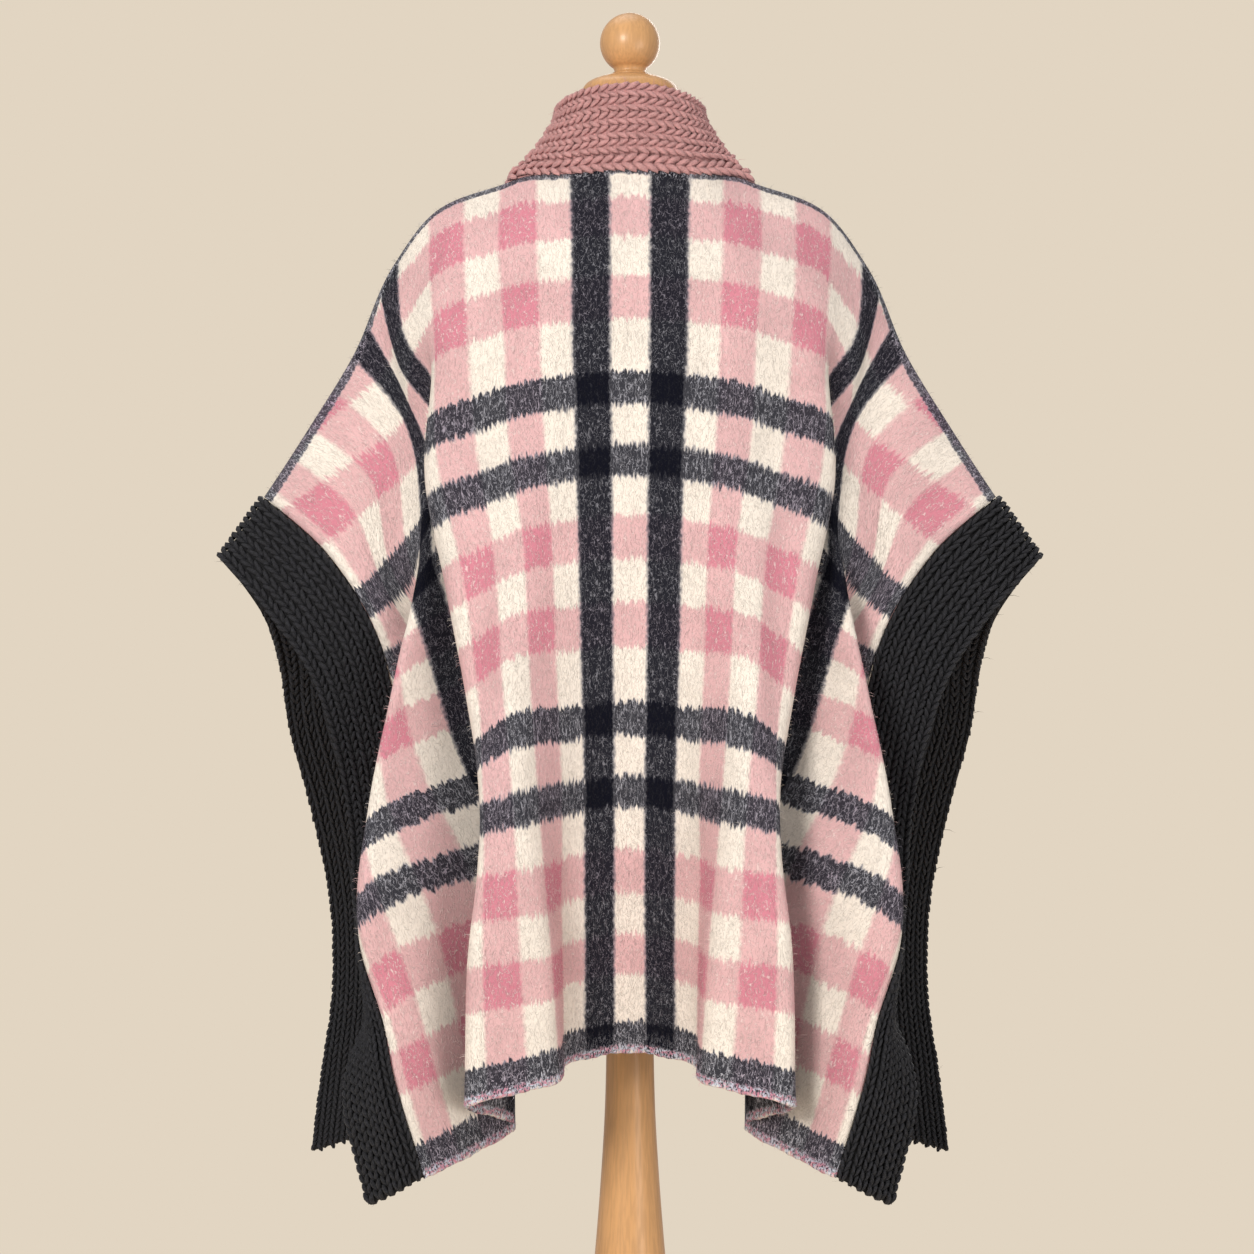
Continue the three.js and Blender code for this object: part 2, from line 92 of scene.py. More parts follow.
FRONT_FOLDS = {
    "centre": [(0, 0, -66, 1288), (0, 0, -100, 1226), (0, 0, -122, 1156), (0, 0, -131, 1082), (0, 0, -131, 992),
               (0, 0, -126, 895), (0, 0, -119, 782), (0, 0, -114, 668), (0, 0, -111, 553)],
    "blade": [(60, 66, -46, 1300), (60, 61, -89, 1243), (60, 59, -116, 1168), (60, 57, -128, 1088),
              (60, 54, -132, 994), (60, 52, -131, 896), (60, 50, -131, 782), (60, 49, -131, 668),
              (60, 50, -130, 552)],
    "neck": [(112, 111, 18, 1338), (124, 121, -44, 1285), (130, 121, -88, 1215), (135, 119, -114, 1132),
             (140, 114, -136, 1028), (148, 114, -157, 917), (150, 110, -178, 790), (150, 105, -190, 665),
             (150, 104, -196, 540)],
    "crest": [(190, 187, 4, 1308), (190, 183, -54, 1255), (198, 182, -84, 1178), (208, 184, -98, 1090),
              (212, 172, -126, 984), (212, 162, -154, 872), (212, 156, -180, 750), (212, 154, -198, 628),
              (212, 154, -204, 504)],
    "valley": [(240, 222, 0, 1262), (234, 210, -42, 1206), (246, 192, -58, 1136), (264, 180, -60, 1034),
               (270, 158, -80, 940), (278, 144, -96, 828), (290, 134, -110, 706), (300, 132, -120, 584),
               (306, 132, -122, 460)],
    "flare": [(330, 261, 0, 1175), (330, 216, -38, 1112), (330, 200, -58, 1034), (334, 198, -66, 953),
              (360, 204, -92, 862), (378, 204, -124, 750), (386, 198, -146, 628), (388, 192, -158, 520),
              (390, 188, -162, 432)],
    "tuck": [(400, 302, 0, 1108), (400, 252, -42, 1056), (400, 232, -62, 984), (400, 232, -74, 903),
             (424, 244, -118, 812), (436, 238, -150, 710), (444, 232, -164, 602), (446, 232, -164, 506),
             (446, 234, -156, 424)],
    "seam": [(480, 345, 0, 1042), (480, 302, -42, 992), (480, 280, -80, 938), (480, 282, -112, 858),
             (484, 268, -150, 770), (486, 258, -176, 676), (486, 252, -176, 582), (484, 252, -158, 494),
             (484, 256, -136, 418)],
    "edge": [(554, 387, 0, 983), (554, 354, -50, 930), (554, 344, -98, 880), (554, 340, -136, 820),
             (554, 322, -176, 734), (554, 306, -202, 642), (554, 303, -200, 550), (554, 312, -172, 468),
             (554, 318, -140, 398)],
}

# Soft creases laid on the cloth: start u, start v, end u, end v, half width, height (a trough is negative)
BACK_CREASES = [
    (-150, 90, -60, 330, 26, 2.0), (-175, 150, -110, 420, 20, -2.2), (160, 110, 96, 350, 24, 1.8),
    (182, 170, 128, 440, 18, -2.0), (-30, 420, -16, 760, 22, 2.2), (34, 500, 26, 800, 20, -2.0),
    (-98, 540, -92, 842, 20, -2.6), (104, 560, 92, 842, 22, -2.8), (64, 380, 70, 620, 18, 1.6),
    (-330, 150, -420, 290, 20, 2.6), (-300, 190, -390, 330, 16, -2.2), (318, 160, 430, 310, 22, 2.4),
    (290, 200, 372, 350, 16, -2.4), (-400, 520, -350, 760, 20, 2.4), (392, 540, 372, 800, 22, -2.4),
    (-440, 640, -420, 842, 18, -2.4), (436, 620, 440, 842, 18, 2.2),
    (-138, 250, -166, 600, 13, 4.6), (-172, 260, -196, 600, 17, -5.4), (140, 270, 164, 570, 14, 4.2),
    (174, 280, 190, 560, 18, -5.0), (-80, 560, -84, 842, 17, -3.4), (78, 600, 80, 842, 16, -3.0),
    (-44, 640, -40, 842, 18, 2.0), (46, 660, 44, 842, 18, 1.8), (-256, 330, -300, 640, 20, 3.0),
    (262, 350, 306, 620, 22, 2.6), (-214, 620, -220, 842, 16, 2.6), (216, 640, 222, 842, 18, 2.4),
]
FRONT_CREASES = [
    (-140, 110, -70, 360, 26, 2.2), (150, 100, 84, 330, 24, 2.0), (-172, 180, -120, 470, 18, -2.2),
    (178, 160, 130, 440, 18, -2.0), (-20, 430, -34, 760, 22, 2.0), (36, 460, 24, 820, 22, -2.2),
    (-140, 290, -158, 620, 14, 4.2), (-174, 300, -186, 600, 18, -4.8), (142, 270, 160, 600, 14, 4.4),
    (176, 280, 190, 620, 17, -5.0), (-250, 360, -288, 640, 20, 2.8), (254, 340, 296, 660, 21, 2.6),
    (-96, 520, -104, 842, 20, -2.4), (100, 540, 108, 842, 20, -2.6), (-330, 160, -410, 320, 20, 2.4),
    (322, 150, 420, 300, 20, 2.6), (-380, 480, -350, 800, 22, -2.2), (370, 500, 350, 800, 22, 2.2),
]

# Stripes across the cloth from the centre line and down it from the first dark stripe: colour, width
CREAM, PINK, NAVY = "cream", "pink", "navy"
STRIPES_ACROSS = [(CREAM, 18), (NAVY, 35), (CREAM, 33), (PINK, 36), (CREAM, 34), (PINK, 35), (CREAM, 41),
                  (NAVY, 33), (CREAM, 33), (NAVY, 33), (CREAM, 33), (PINK, 36), (CREAM, 34), (PINK, 35),
                  (CREAM, 60)]
STRIPES_DOWN = [(NAVY, 30), (CREAM, 37), (NAVY, 29), (CREAM, 36), (PINK, 38), (CREAM, 39), (PINK, 40),
                (CREAM, 51)]
STRIPES_START = 212.0  # the first dark stripe down the cloth

# Collar
RIM = {"wide": 67.0, "back": 64.0, "front": 68.0, "high": 1425.0, "drop": 34.0}
FLARE = np.array([(0, 0), (0.19, 0.29), (0.41, 0.58), (0.61, 0.77), (0.83, 0.94), (1, 1)])
FOOT_GAP = 1.1

# Torso sections: z, half width, back depth, front depth, middle, squareness behind and in front
TORSO = [
    (1426, 44, 44, 44, 0, 2, 2), (1400, 46, 46, 46, 0, 2, 2), (1366, 49, 49, 49, 0, 2, 2),
    (1347, 60, 52, 50, 5, 1.8, 1.7), (1334, 100, 56, 42, 15, 1.4, 1.05), (1320, 146, 62, 38, 10, 1.2, 1),
    (1300, 182, 70, 48, 4, 1.25, 1.05), (1272, 196, 78, 62, 0, 1.4, 1.2), (1230, 190, 88, 84, 0, 1.7, 1.5),
    (1170, 172, 96, 106, 0, 2, 1.8), (1100, 158, 100, 116, 0, 2, 2), (1020, 138, 94, 108, 0, 2, 2),
    (950, 122, 86, 92, 0, 2, 2), (880, 128, 88, 96, 0, 2, 2), (800, 146, 88, 102, 0, 2, 2),
    (720, 150, 82, 98, 0, 2, 2), (700, 142, 74, 90, 0, 2, 2),
]

# Turned wood: radius and z from the bottom up
CAP_PROFILE = [(45, 1426.3), (45.6, 1428), (45, 1430.4), (42, 1435), (38, 1437.8), (33, 1440), (27, 1441.9), (21, 1443.5)]
BALL = {"radius": 28.5, "z": 1474.5, "neck": 15.0, "foot": 1443.8}
POST_PROFILE = [(42, 30.3), (45, 42), (47, 60), (49, 110), (46, 190), (39, 270), (33, 330), (27.5, 400), (24, 460),
                (22.5, 520), (22, 620), (22, 699.7)]
BASE_PROFILE = [(180, 0), (184.5, 1.6), (186, 5), (186.6, 12), (186, 20), (184.4, 24), (180, 27), (174, 29), (168, 30)]


class DressFormSizes(bpy.types.PropertyGroup):
    camera_distance: FloatProperty(
        name="Camera distance", description="From the form's axis to the camera", default=2.8,
        unit="LENGTH", subtype="DISTANCE")
    camera_height: FloatProperty(
        name="Camera height", description="Height of the camera over the floor", default=0.92,
        unit="LENGTH", subtype="DISTANCE")
    wood_colour: FloatVectorProperty(
        name="Wood", description="Light tone of the honey-coloured wood", subtype="COLOR", size=3,
        default=(0.66, 0.365, 0.155))
    backdrop_colour: FloatVectorProperty(
        name="Backdrop", description="Pale surroundings and floor", subtype="COLOR", size=3,
        default=(0.76, 0.665, 0.54))


class KnitSizes(bpy.types.PropertyGroup):
    stitch_pitch: FloatProperty(
        name="Band stitch", description="Length of one chunky stitch along the side bands", default=0.0093,
        unit="LENGTH", subtype="DISTANCE")
    band_ribs: IntProperty(
        name="Band ribs", description="Columns of stitches across a side band", default=6)
    collar_rows: IntProperty(
        name="Collar rows", description="Rows of stitches up the collar", default=5)
    nap_length: FloatProperty(
        name="Nap length", description="Length of the brushed fibres", default=0.0050,
        unit="LENGTH", subtype="DISTANCE")
    nap_density: FloatProperty(
        name="Nap density", description="Brushed fibres to a square metre of cloth surface", default=62000.0)
    cream: FloatVectorProperty(
        name="Cream", description="Undyed wool", subtype="COLOR", size=3, default=(0.90, 0.825, 0.735))
    pink: FloatVectorProperty(
        name="Pink", description="Pink wool of the plaid", subtype="COLOR", size=3, default=(0.66, 0.245, 0.31))
    navy: FloatVectorProperty(
        name="Navy", description="Dark wool of the plaid", subtype="COLOR", size=3, default=(0.0055, 0.006, 0.012))
    dusty_pink: FloatVectorProperty(
        name="Collar yarn", description="Dusty pink wool of the collar", subtype="COLOR", size=3,
        default=(0.60, 0.315, 0.305))
    charcoal: FloatVectorProperty(
        name="Band yarn", description="Charcoal wool of the side bands", subtype="COLOR", size=3,
        default=(0.017, 0.0175, 0.022))


# Curves and surfaces in millimetres

def curve(stations, rows, at, first=None, corner=None):
    """Cubic curves, one a line of the arrays: stations (m, n), rows (m, n, k), read at (m,)."""
    step = np.diff(stations, axis=1)[..., None]
    chord = np.diff(rows, axis=1) / step
    slope = np.empty(rows.shape)
    slope[:, 0] = chord[:, 0] if first is None else first
    slope[:, -1] = chord[:, -1]
    share = step[:, 1:] / (step[:, :-1] + step[:, 1:])
    slope[:, 1:-1] = chord[:, :-1] * share + chord[:, 1:] * (1 - share)
    if corner is not None:
        slope[:, corner] = chord[:, corner]
    i = np.clip((at[:, None] > stations).sum(axis=1) - 1, 0, stations.shape[1] - 2)
    line = np.arange(len(at))
    h = step[line, i]
    t = (at[:, None] - stations[line, i][:, None]) / h
    return ((2 * t**3 - 3 * t**2 + 1) * rows[line, i] + (t**3 - 2 * t**2 + t) * h * slope[line, i]
            + (3 * t**2 - 2 * t**3) * rows[line, i + 1] + (t**3 - t**2) * h * slope[line, i + 1])


def unit(vectors):
    return vectors / np.maximum(np.linalg.norm(vectors, axis=-1, keepdims=True), 1e-12)


class Panel:
    """One draped panel of cloth. u runs across from the centre line, t from the top edge (0) to the hem (1)."""

    def __init__(self, title, folds, creases, scoop, side, foot_turn):
        self.title, self.folds, self.creases = title, folds, creases
        self.scoop, self.side, self.foot_turn = scoop, side, foot_turn

    def top(self, u):
        u = np.abs(u)
        scooped = self.scoop * (1 - (np.minimum(u, NECK) / NECK) ** 2)
        return scooped + np.maximum(np.minimum(u, SEAM) - SHOULDER, 0) * SLEEVE_SLOPE

    def v(self, u, t):
        return self.top(u) + t * (HEM - self.top(u))

    def bare(self, u, t):
        """Inner face of the cloth with no creases."""
        m = len(u)
        stations = np.broadcast_to(LEVELS, (m, len(LEVELS)))
        lines = []
        for name, rows in self.folds.items():
            ridge = None if name in ("centre", "blade") else np.array([0, 0, self.side * RIDGE_PULL * HEM, 0])
            rows = np.broadcast_to(np.array(rows, float), (m, len(LEVELS), 4))
            lines.append(curve(stations, rows, t, first=ridge))
        rows = np.stack(lines, axis=1)
        level = np.zeros((m, 4))
        level[:, 0] = 1
        level[:, 1] = rows[:, 1, 1] / rows[:, 1, 0]
        place = curve(rows[..., 0], rows, np.abs(u), first=level, corner=NECK_LINE)[:, 1:]
        place[:, 0] *= np.where(u < 0, -1, 1)
        return place

    def normal(self, u, t):
        across = np.abs(u)
        down = np.maximum(t - 0.0005, 0)
        a = self.bare(np.minimum(across + 0.5, EDGE), t) - self.bare(np.maximum(across - 0.5, 0), t)
        b = self.bare(across, np.minimum(down + 0.001, 1)) - self.bare(across, down)
        n = self.side * np.cross(a, b)
        n[:, 0] *= np.where(u < 0, -1, 1)
        n[u == 0, 0] = 0
        return unit(n)

    def crease(self, u, t):
        v = self.v(u, t)
        height = np.zeros(len(u))
        for u0, v0, u1, v1, width, tall in self.creases:
            du, dv = u1 - u0, v1 - v0
            along = ((u - u0) * du + (v - v0) * dv) / (du * du + dv * dv)
            away = np.hypot(u - u0 - along * du, v - v0 - along * dv)
            ends = np.clip(along / 0.3, 0, 1) * np.clip((1 - along) / 0.3, 0, 1) if v1 < HEM else np.clip(along / 0.4, 0, 1)
            ends = ends * ends * (3 - 2 * ends)
            height += tall * np.exp(-(away / width) ** 2) * ends
        fade = np.clip((SEAM - np.abs(u)) / 30, 0, 1) * np.clip(t / 0.06, 0, 1)
        return height * fade

    def place(self, u, t, out):
        return self.bare(u, t) + self.normal(u, t) * (out + self.crease(u, t))[:, None]


BACK = Panel("back", BACK_FOLDS, BACK_CREASES, 10.0, 1, 3.0)
FRONT = Panel("front", FRONT_FOLDS, FRONT_CREASES, 85.0, -1, 1.5)


def band_place(hand, u, s, out):
    """A side band's point: u across, s from the front hem (-1) over the cuff (0) to the back hem (1)."""
    place = np.empty((len(u), 3))
    for panel, chosen in ((FRONT, s < 0), (BACK, s >= 0)):
        if chosen.any():
            t = np.abs(s[chosen])
            across = hand * u[chosen]
            square = np.sign(across) * np.maximum(np.abs(across), SEAM)
            place[chosen] = panel.bare(across, t) + panel.normal(square, t) * out[chosen][:, None]
    return place


class Collar:
    """The collar's outer face. p runs once round from the back, s from the foot (0) to the rim (1)."""

    def __init__(self, count=480):
        u = NECK * np.sin(np.linspace(-0.5, 0.5, 161) * np.pi)
        feet, lips = [], []
        for panel, across in ((BACK, u[:-1]), (FRONT, u[::-1][:-1])):
            turn = (np.abs(across) / NECK) ** panel.foot_turn * np.pi / 2
            lap = np.abs(across) + COLLAR_LAP * np.sin(turn)
            down = panel.top(across) + COLLAR_LAP * np.cos(turn)
            t = np.maximum(down - panel.top(lap), 0) / (HEM - panel.top(lap))
            sign = np.where(across < 0, -1, 1)
            out = np.full(len(across), CLOTH + FOOT_GAP)
            feet.append(panel.bare(sign * lap, t) + panel.normal(sign * lap, t) * out[:, None])
            lips.append(panel.bare(across, np.zeros(len(across)))
                        + panel.normal(across, np.zeros(len(across))) * out[:, None])
        feet, lips = np.concatenate(feet), np.concatenate(lips)
        length = np.concatenate([[0], np.cumsum(np.linalg.norm(np.diff(lips, axis=0, append=lips[:1]), axis=1))])
        even = np.arange(count) / count * length[-1]
        self.round = length[-1]
        self.foot = self.resample(even, length, feet)
        self.lip = self.resample(even, length, lips)
        angle = np.arctan2(self.lip[:, 1], self.lip[:, 0])
        deep = np.where(self.lip[:, 1] > 0, RIM["back"], RIM["front"])
        reach = 1 / np.hypot(np.cos(angle) / RIM["wide"], np.sin(angle) / deep)
        tilt = RIM["drop"] * (1 - np.sin(angle)) / 2
        self.outward = np.stack([np.cos(angle), np.sin(angle), 0 * angle], axis=1)
        self.rim = self.outward * reach[:, None] + np.stack([0 * tilt, 0 * tilt, RIM["high"] - tilt], axis=1)

    @staticmethod
    def resample(at, length, points):
        closed = np.concatenate([points, points[:1]])
        return np.stack([np.interp(at, length, closed[:, k]) for k in range(3)], axis=1)

    def read(self, values, p):
        count = len(values)
        at = np.mod(p, 1) * count
        i = np.floor(at).astype(int) % count
        f = (at - np.floor(at))[:, None]
        return values[i] * (1 - f) + values[(i + 1) % count] * f

    def face(self, p, s):
        foot, rim = self.read(self.foot, p), self.read(self.rim, p)
        stations = np.broadcast_to(FLARE[:, 0], (len(s), len(FLARE)))
        share = curve(stations, np.broadcast_to(FLARE[:, 1:], (len(s), len(FLARE), 1)), np.clip(s, 0, 1))
        place = foot + (rim - foot) * share
        place[:, 2] = foot[:, 2] + (rim[:, 2] - foot[:, 2]) * s
        return place

    def lean(self, p, s):
        up = unit(self.face(p, np.minimum(s + 0.03, 1)) - self.face(p, np.maximum(s - 0.03, 0)))
        outward = unit(self.read(self.outward, p))
        return unit(outward - up * (outward * up).sum(axis=1, keepdims=True))

    def place(self, p, s, out):
        return self.face(p, s) + self.lean(p, s) * out[:, None]


# Mesh making

def new_object(name, points, faces, uv=None, shown=None, attributes=()):
    """A mesh object in metres from points in millimetres. uv is in millimetres, one row a point,
    and shown marks the faces that carry nap."""
    mesh = bpy.data.meshes.new(name)
    mesh.from_pydata((np.asarray(points) * MM).tolist(), [], [list(map(int, f)) for f in faces])
    mesh.validate()
    if uv is not None:
        layer = mesh.uv_layers.new(name="cloth")
        corner = np.empty(len(mesh.loops), dtype=np.int32)
        mesh.loops.foreach_get("vertex_index", corner)
        layer.data.foreach_set("uv", (np.asarray(uv) * MM)[corner].ravel())
    if shown is not None:
        marks = mesh.attributes.new("shown", "BOOLEAN", "FACE")
        marks.data.foreach_set("value", shown)
    for title, values in attributes:
        attribute = mesh.attributes.new(title, "FLOAT_VECTOR", "POINT")
        attribute.data.foreach_set("vector", np.asarray(values, float).ravel())
    mesh.shade_smooth()
    made = bpy.data.objects.new(name, mesh)
    bpy.context.scene.collection.objects.link(made)
    return made


def loop_faces(rows, count, closed_rows=False):
    """Quads between neighbouring closed loops of count points each."""
    faces = []
    for i in range(rows if closed_rows else rows - 1):
        a, b = i * count, ((i + 1) % rows) * count
        for j in range(count):
            k = (j + 1) % count
            faces.append((a + j, b + j, b + k, a + k))
    return faces


def point_out(made):
    """Turns all faces outwards if the closed mesh has a negative volume."""
    mesh = made.data
    points = np.empty(len(mesh.vertices) * 3)
    mesh.vertices.foreach_get("co", points)
    points = points.reshape(-1, 3)
    mesh.calc_loop_triangles()
    corners = np.array([t.vertices[:] for t in mesh.loop_triangles])
    a, b, c = (points[corners[:, k]] for k in range(3))
    if (a * np.cross(b, c)).sum() < 0:
        mesh.flip_normals()
    return made


def wall_object(name, sections, uv, closed=False):
    """A closed wall from sections (n, m, 3), each a loop round the wall's edge, capped at both ends."""
    n, m = sections.shape[:2]
    faces = loop_faces(n, m, closed)
    shown = np.tile(np.arange(m) < m // 2, n if closed else n - 1)
    if not closed:
        for base, turn in ((0, 1), ((n - 1) * m, -1)):
            for j in range(m // 2 - 1):
                quad = (base + j, base + j + 1, base + m - 2 - j, base + m - 1 - j)
                faces.append(quad[::turn])
    shown = np.concatenate([shown, np.zeros(len(faces) - len(shown), bool)])
    return point_out(new_object(name, sections.reshape(-1, 3), faces, uv.reshape(-1, 2), shown))


def turned_object(name, profile, count=96, smooth=6):
    """A turned part from a profile of radius and z, closed on the axis."""
    profile = np.array(profile, float)
    length = np.concatenate([[0], np.cumsum(np.hypot(*np.diff(profile, axis=0).T))])
    at = np.linspace(0, length[-1], (len(profile) - 1) * smooth + 1)
    fine = curve(np.broadcast_to(length, (len(at), len(length))),
                 np.broadcast_to(profile, (len(at), *profile.shape)), at)
    angle = np.arange(count) / count * 2 * np.pi
    ring = np.stack([np.cos(angle), np.sin(angle)], axis=1)
    points = np.concatenate([np.column_stack([ring * r, np.full(count, z)]) for r, z in fine])
    faces = loop_faces(len(fine), count)
    points = np.vstack([points, [0, 0, fine[0, 1]], [0, 0, fine[-1, 1]]])
    bottom, top = len(points) - 2, len(points) - 1
    last = (len(fine) - 1) * count
    for j in range(count):
        k = (j + 1) % count
        faces += [(bottom, j, k), (top, last + k, last + j)]
    return point_out(new_object(name, points, faces))


# Geometry Nodes for stitches and nap

def tree_with(name, sockets):
    tree = bpy.data.node_groups.new(name, "GeometryNodeTree")
    tree.interface.new_socket("Geometry", in_out="INPUT", socket_type="NodeSocketGeometry")
    for title, kind, value in sockets:
        made = tree.interface.new_socket(title, in_out="INPUT", socket_type=kind)
        if value is not None:
            made.default_value = value
    tree.interface.new_socket("Geometry", in_out="OUTPUT", socket_type="NodeSocketGeometry")
    return tree, tree.nodes.new("NodeGroupInput"), tree.nodes.new("NodeGroupOutput")


def add_node(tree, kind, values=(), **settings):
    """A node with its settings and inputs: a socket is linked, and anything else is set as a value."""
    node = tree.nodes.new(kind)
    for key, value in settings.items():
        setattr(node, key, value)
    for socket, value in dict(values).items():
        if isinstance(value, bpy.types.NodeSocket):
            tree.links.new(value, node.inputs[socket])
        else:
            node.inputs[socket].default_value = value
    return node


def read_attribute(tree, title, kind="FLOAT_VECTOR"):
    return add_node(tree, "GeometryNodeInputNamedAttribute", {"Name": title}, data_type=kind).outputs[0]


def stitch_tree():
    """Sets one stitch on every point, turned to the point's own directions."""
    tree, given, result = tree_with("stitch rows", [
        ("Stitch", "NodeSocketObject", None), ("Unevenness", "NodeSocketFloat", 0.08),
        ("Seed", "NodeSocketInt", 3), ("Finish", "NodeSocketMaterial", None)])
    seed = given.outputs["Seed"]
    stitch = add_node(tree, "GeometryNodeObjectInfo", {"Object": given.outputs["Stitch"]})
    axes = add_node(tree, "FunctionNodeAxesToRotation", {
        "Primary Axis": read_attribute(tree, "outward"), "Secondary Axis": read_attribute(tree, "along")},
        primary_axis="Z", secondary_axis="Y")
    low = add_node(tree, "ShaderNodeMath", {0: 0.0, 1: given.outputs["Unevenness"]}, operation="SUBTRACT")
    wobble = add_node(tree, "FunctionNodeRandomValue", {
        "Min": low.outputs[0], "Max": given.outputs["Unevenness"], "Seed": seed}, data_type="FLOAT_VECTOR")
    turned = add_node(tree, "FunctionNodeEulerToRotation", {"Euler": wobble.outputs[0]})
    both = add_node(tree, "FunctionNodeRotateRotation", {
        "Rotation": axes.outputs[0], "Rotate By": turned.outputs[0]}, rotation_space="LOCAL")
    swell = add_node(tree, "FunctionNodeRandomValue", {2: 0.93, 3: 1.08, "Seed": seed})
    size = add_node(tree, "ShaderNodeVectorMath", {
        0: read_attribute(tree, "size"), 3: swell.outputs[1]}, operation="SCALE")
    placed = add_node(tree, "GeometryNodeInstanceOnPoints", {
        "Points": given.outputs["Geometry"], "Instance": stitch.outputs["Geometry"],
        "Rotation": both.outputs[0], "Scale": size.outputs[0]})
    real = add_node(tree, "GeometryNodeRealizeInstances", {"Geometry": placed.outputs[0]})
    finish = add_node(tree, "GeometryNodeSetMaterial", {
        "Geometry": real.outputs[0], "Material": given.outputs["Finish"]})
    tree.links.new(finish.outputs[0], result.inputs[0])
    return tree


def nap_tree():
    """Scatters fine curved fibres over a piece's shown faces, each keeping its root's place for its colour."""
    tree, given, result = tree_with("brushed nap", [
        ("Fibre", "NodeSocketObject", None), ("Density", "NodeSocketFloat", 40000.0),
        ("Length", "NodeSocketFloat", 0.009), ("Lift", "NodeSocketFloat", 0.45), ("Seed", "NodeSocketInt", 7),
        ("Finish", "NodeSocketMaterial", None)])
    seed = given.outputs["Seed"]
    shown = read_attribute(tree, "shown", "BOOLEAN")
    scatter = add_node(tree, "GeometryNodeDistributePointsOnFaces", {
        "Mesh": given.outputs["Geometry"], "Selection": shown, "Density": given.outputs["Density"], "Seed": seed})
    kept = add_node(tree, "GeometryNodeStoreNamedAttribute", {
        "Geometry": scatter.outputs["Points"], "Name": "root", "Value": read_attribute(tree, "cloth")},
        data_type="FLOAT_VECTOR", domain="POINT")
    fibre = add_node(tree, "GeometryNodeObjectInfo", {"Object": given.outputs["Fibre"]})
    spin = add_node(tree, "FunctionNodeRandomValue", {2: -3.1416, 3: 3.1416, "Seed": seed})
    chance = add_node(tree, "FunctionNodeRandomValue", {2: 0.0, 3: 1.0, "Seed": seed})
    few = add_node(tree, "ShaderNodeMath", {0: chance.outputs[1], 1: 3.5}, operation="POWER")
    rise = add_node(tree, "ShaderNodeMath", {0: few.outputs[0], 1: given.outputs["Lift"]}, operation="MULTIPLY")
    down = add_node(tree, "ShaderNodeMath", {0: 0.0, 1: rise.outputs[0]}, operation="SUBTRACT")
    angles = add_node(tree, "ShaderNodeCombineXYZ", {"Y": down.outputs[0], "Z": spin.outputs[1]})
    turned = add_node(tree, "FunctionNodeEulerToRotation", {"Euler": angles.outputs[0]})
    both = add_node(tree, "FunctionNodeRotateRotation", {
        "Rotation": scatter.outputs["Rotation"], "Rotate By": turned.outputs[0]}, rotation_space="LOCAL")
    size = add_node(tree, "FunctionNodeRandomValue", {2: 0.5, 3: 1.2, "Seed": seed})
    long = add_node(tree, "ShaderNodeMath", {
        0: size.outputs[1], 1: given.outputs["Length"]}, operation="MULTIPLY")
    placed = add_node(tree, "GeometryNodeInstanceOnPoints", {
        "Points": kept.outputs[0], "Instance": fibre.outputs["Geometry"],
        "Rotation": both.outputs[0], "Scale": long.outputs[0]})
    real = add_node(tree, "GeometryNodeRealizeInstances", {"Geometry": placed.outputs[0]})
    finish = add_node(tree, "GeometryNodeSetMaterial", {
        "Geometry": real.outputs[0], "Material": given.outputs["Finish"]})
    tree.links.new(finish.outputs[0], result.inputs[0])
    return tree


def grown(source, name, tree, inputs):
    """The source object's mesh after the tree, as a plain mesh object of its own."""
    modifier = source.modifiers.new("growth", "NODES")
    modifier.node_group = tree
    for title, value in inputs.items():
        modifier[tree.interface.items_tree[title].identifier] = value
    evaluated = source.evaluated_get(bpy.context.evaluated_depsgraph_get())
    mesh = bpy.data.meshes.new_from_object(evaluated)
    mesh.name = name
    source.modifiers.remove(modifier)
    mesh.shade_smooth()
    made = bpy.data.objects.new(name, mesh)
    bpy.context.scene.collection.objects.link(made)
    return made


def stitch_object(name, wide, long, thick, plump, spread=(0.40, 0.11), sides=5, rings=5):
    """One V stitch of two plump strands, in millimetres: the tips meet at +Y, and +Z is out of the cloth.

    spread is each strand's way from the middle at the open end and at the tip, in widths. thick is
    the strand's width and plump its height."""
    points, faces = [], []
    for hand in (-1, 1):
        start = len(points)
        for i in range(rings):
            f = i / (rings - 1)
            arch = np.sin(np.pi * (0.10 + 0.80 * f))
            centre = np.array([hand * wide * (spread[0] + (spread[1] - spread[0]) * f), long * (f - 0.5),
                               plump * (0.62 * arch - 0.10 + 0.46 * (0.5 - f))])
            swell = 0.5 + 0.5 * np.sin(np.pi * (0.06 + 0.86 * f))
            for j in range(sides):
                a = 2 * np.pi * (j + 0.5) / sides
                points.append(centre + [0.5 * thick * swell * np.cos(a), 0, 0.5 * plump * swell * np.sin(a)])
        for i in range(rings - 1):
            a, b = start + i * sides, start + (i + 1) * sides
            for j in range(sides):
                k = (j + 1) % sides
                faces.append((a + j, a + k, b + k, b + j))
        faces.append(tuple(start + j for j in range(sides))[::-1])
        faces.append(tuple(start + (rings - 1) * sides + j for j in range(sides)))
    return point_out(new_object(name, np.array(points), faces))


def fibre_object():
    """One fine fibre a metre long, scaled by the nap tree: a curved ribbon with a pointed tip."""
    half = 0.016
    line = [(0, 0, 0.02), (0.5, 0.08, 0.10), (1.0, 0.42, 0.07)]
    points = [(line[0][0], -half, line[0][2]), (line[0][0], half, line[0][2]),
              (line[1][0], line[1][1] - half, line[1][2]), (line[1][0], line[1][1] + half, line[1][2]), line[2]]
    return new_object("fibre", np.array(points) / MM, [(0, 2, 3, 1), (2, 4, 3)])


# Materials

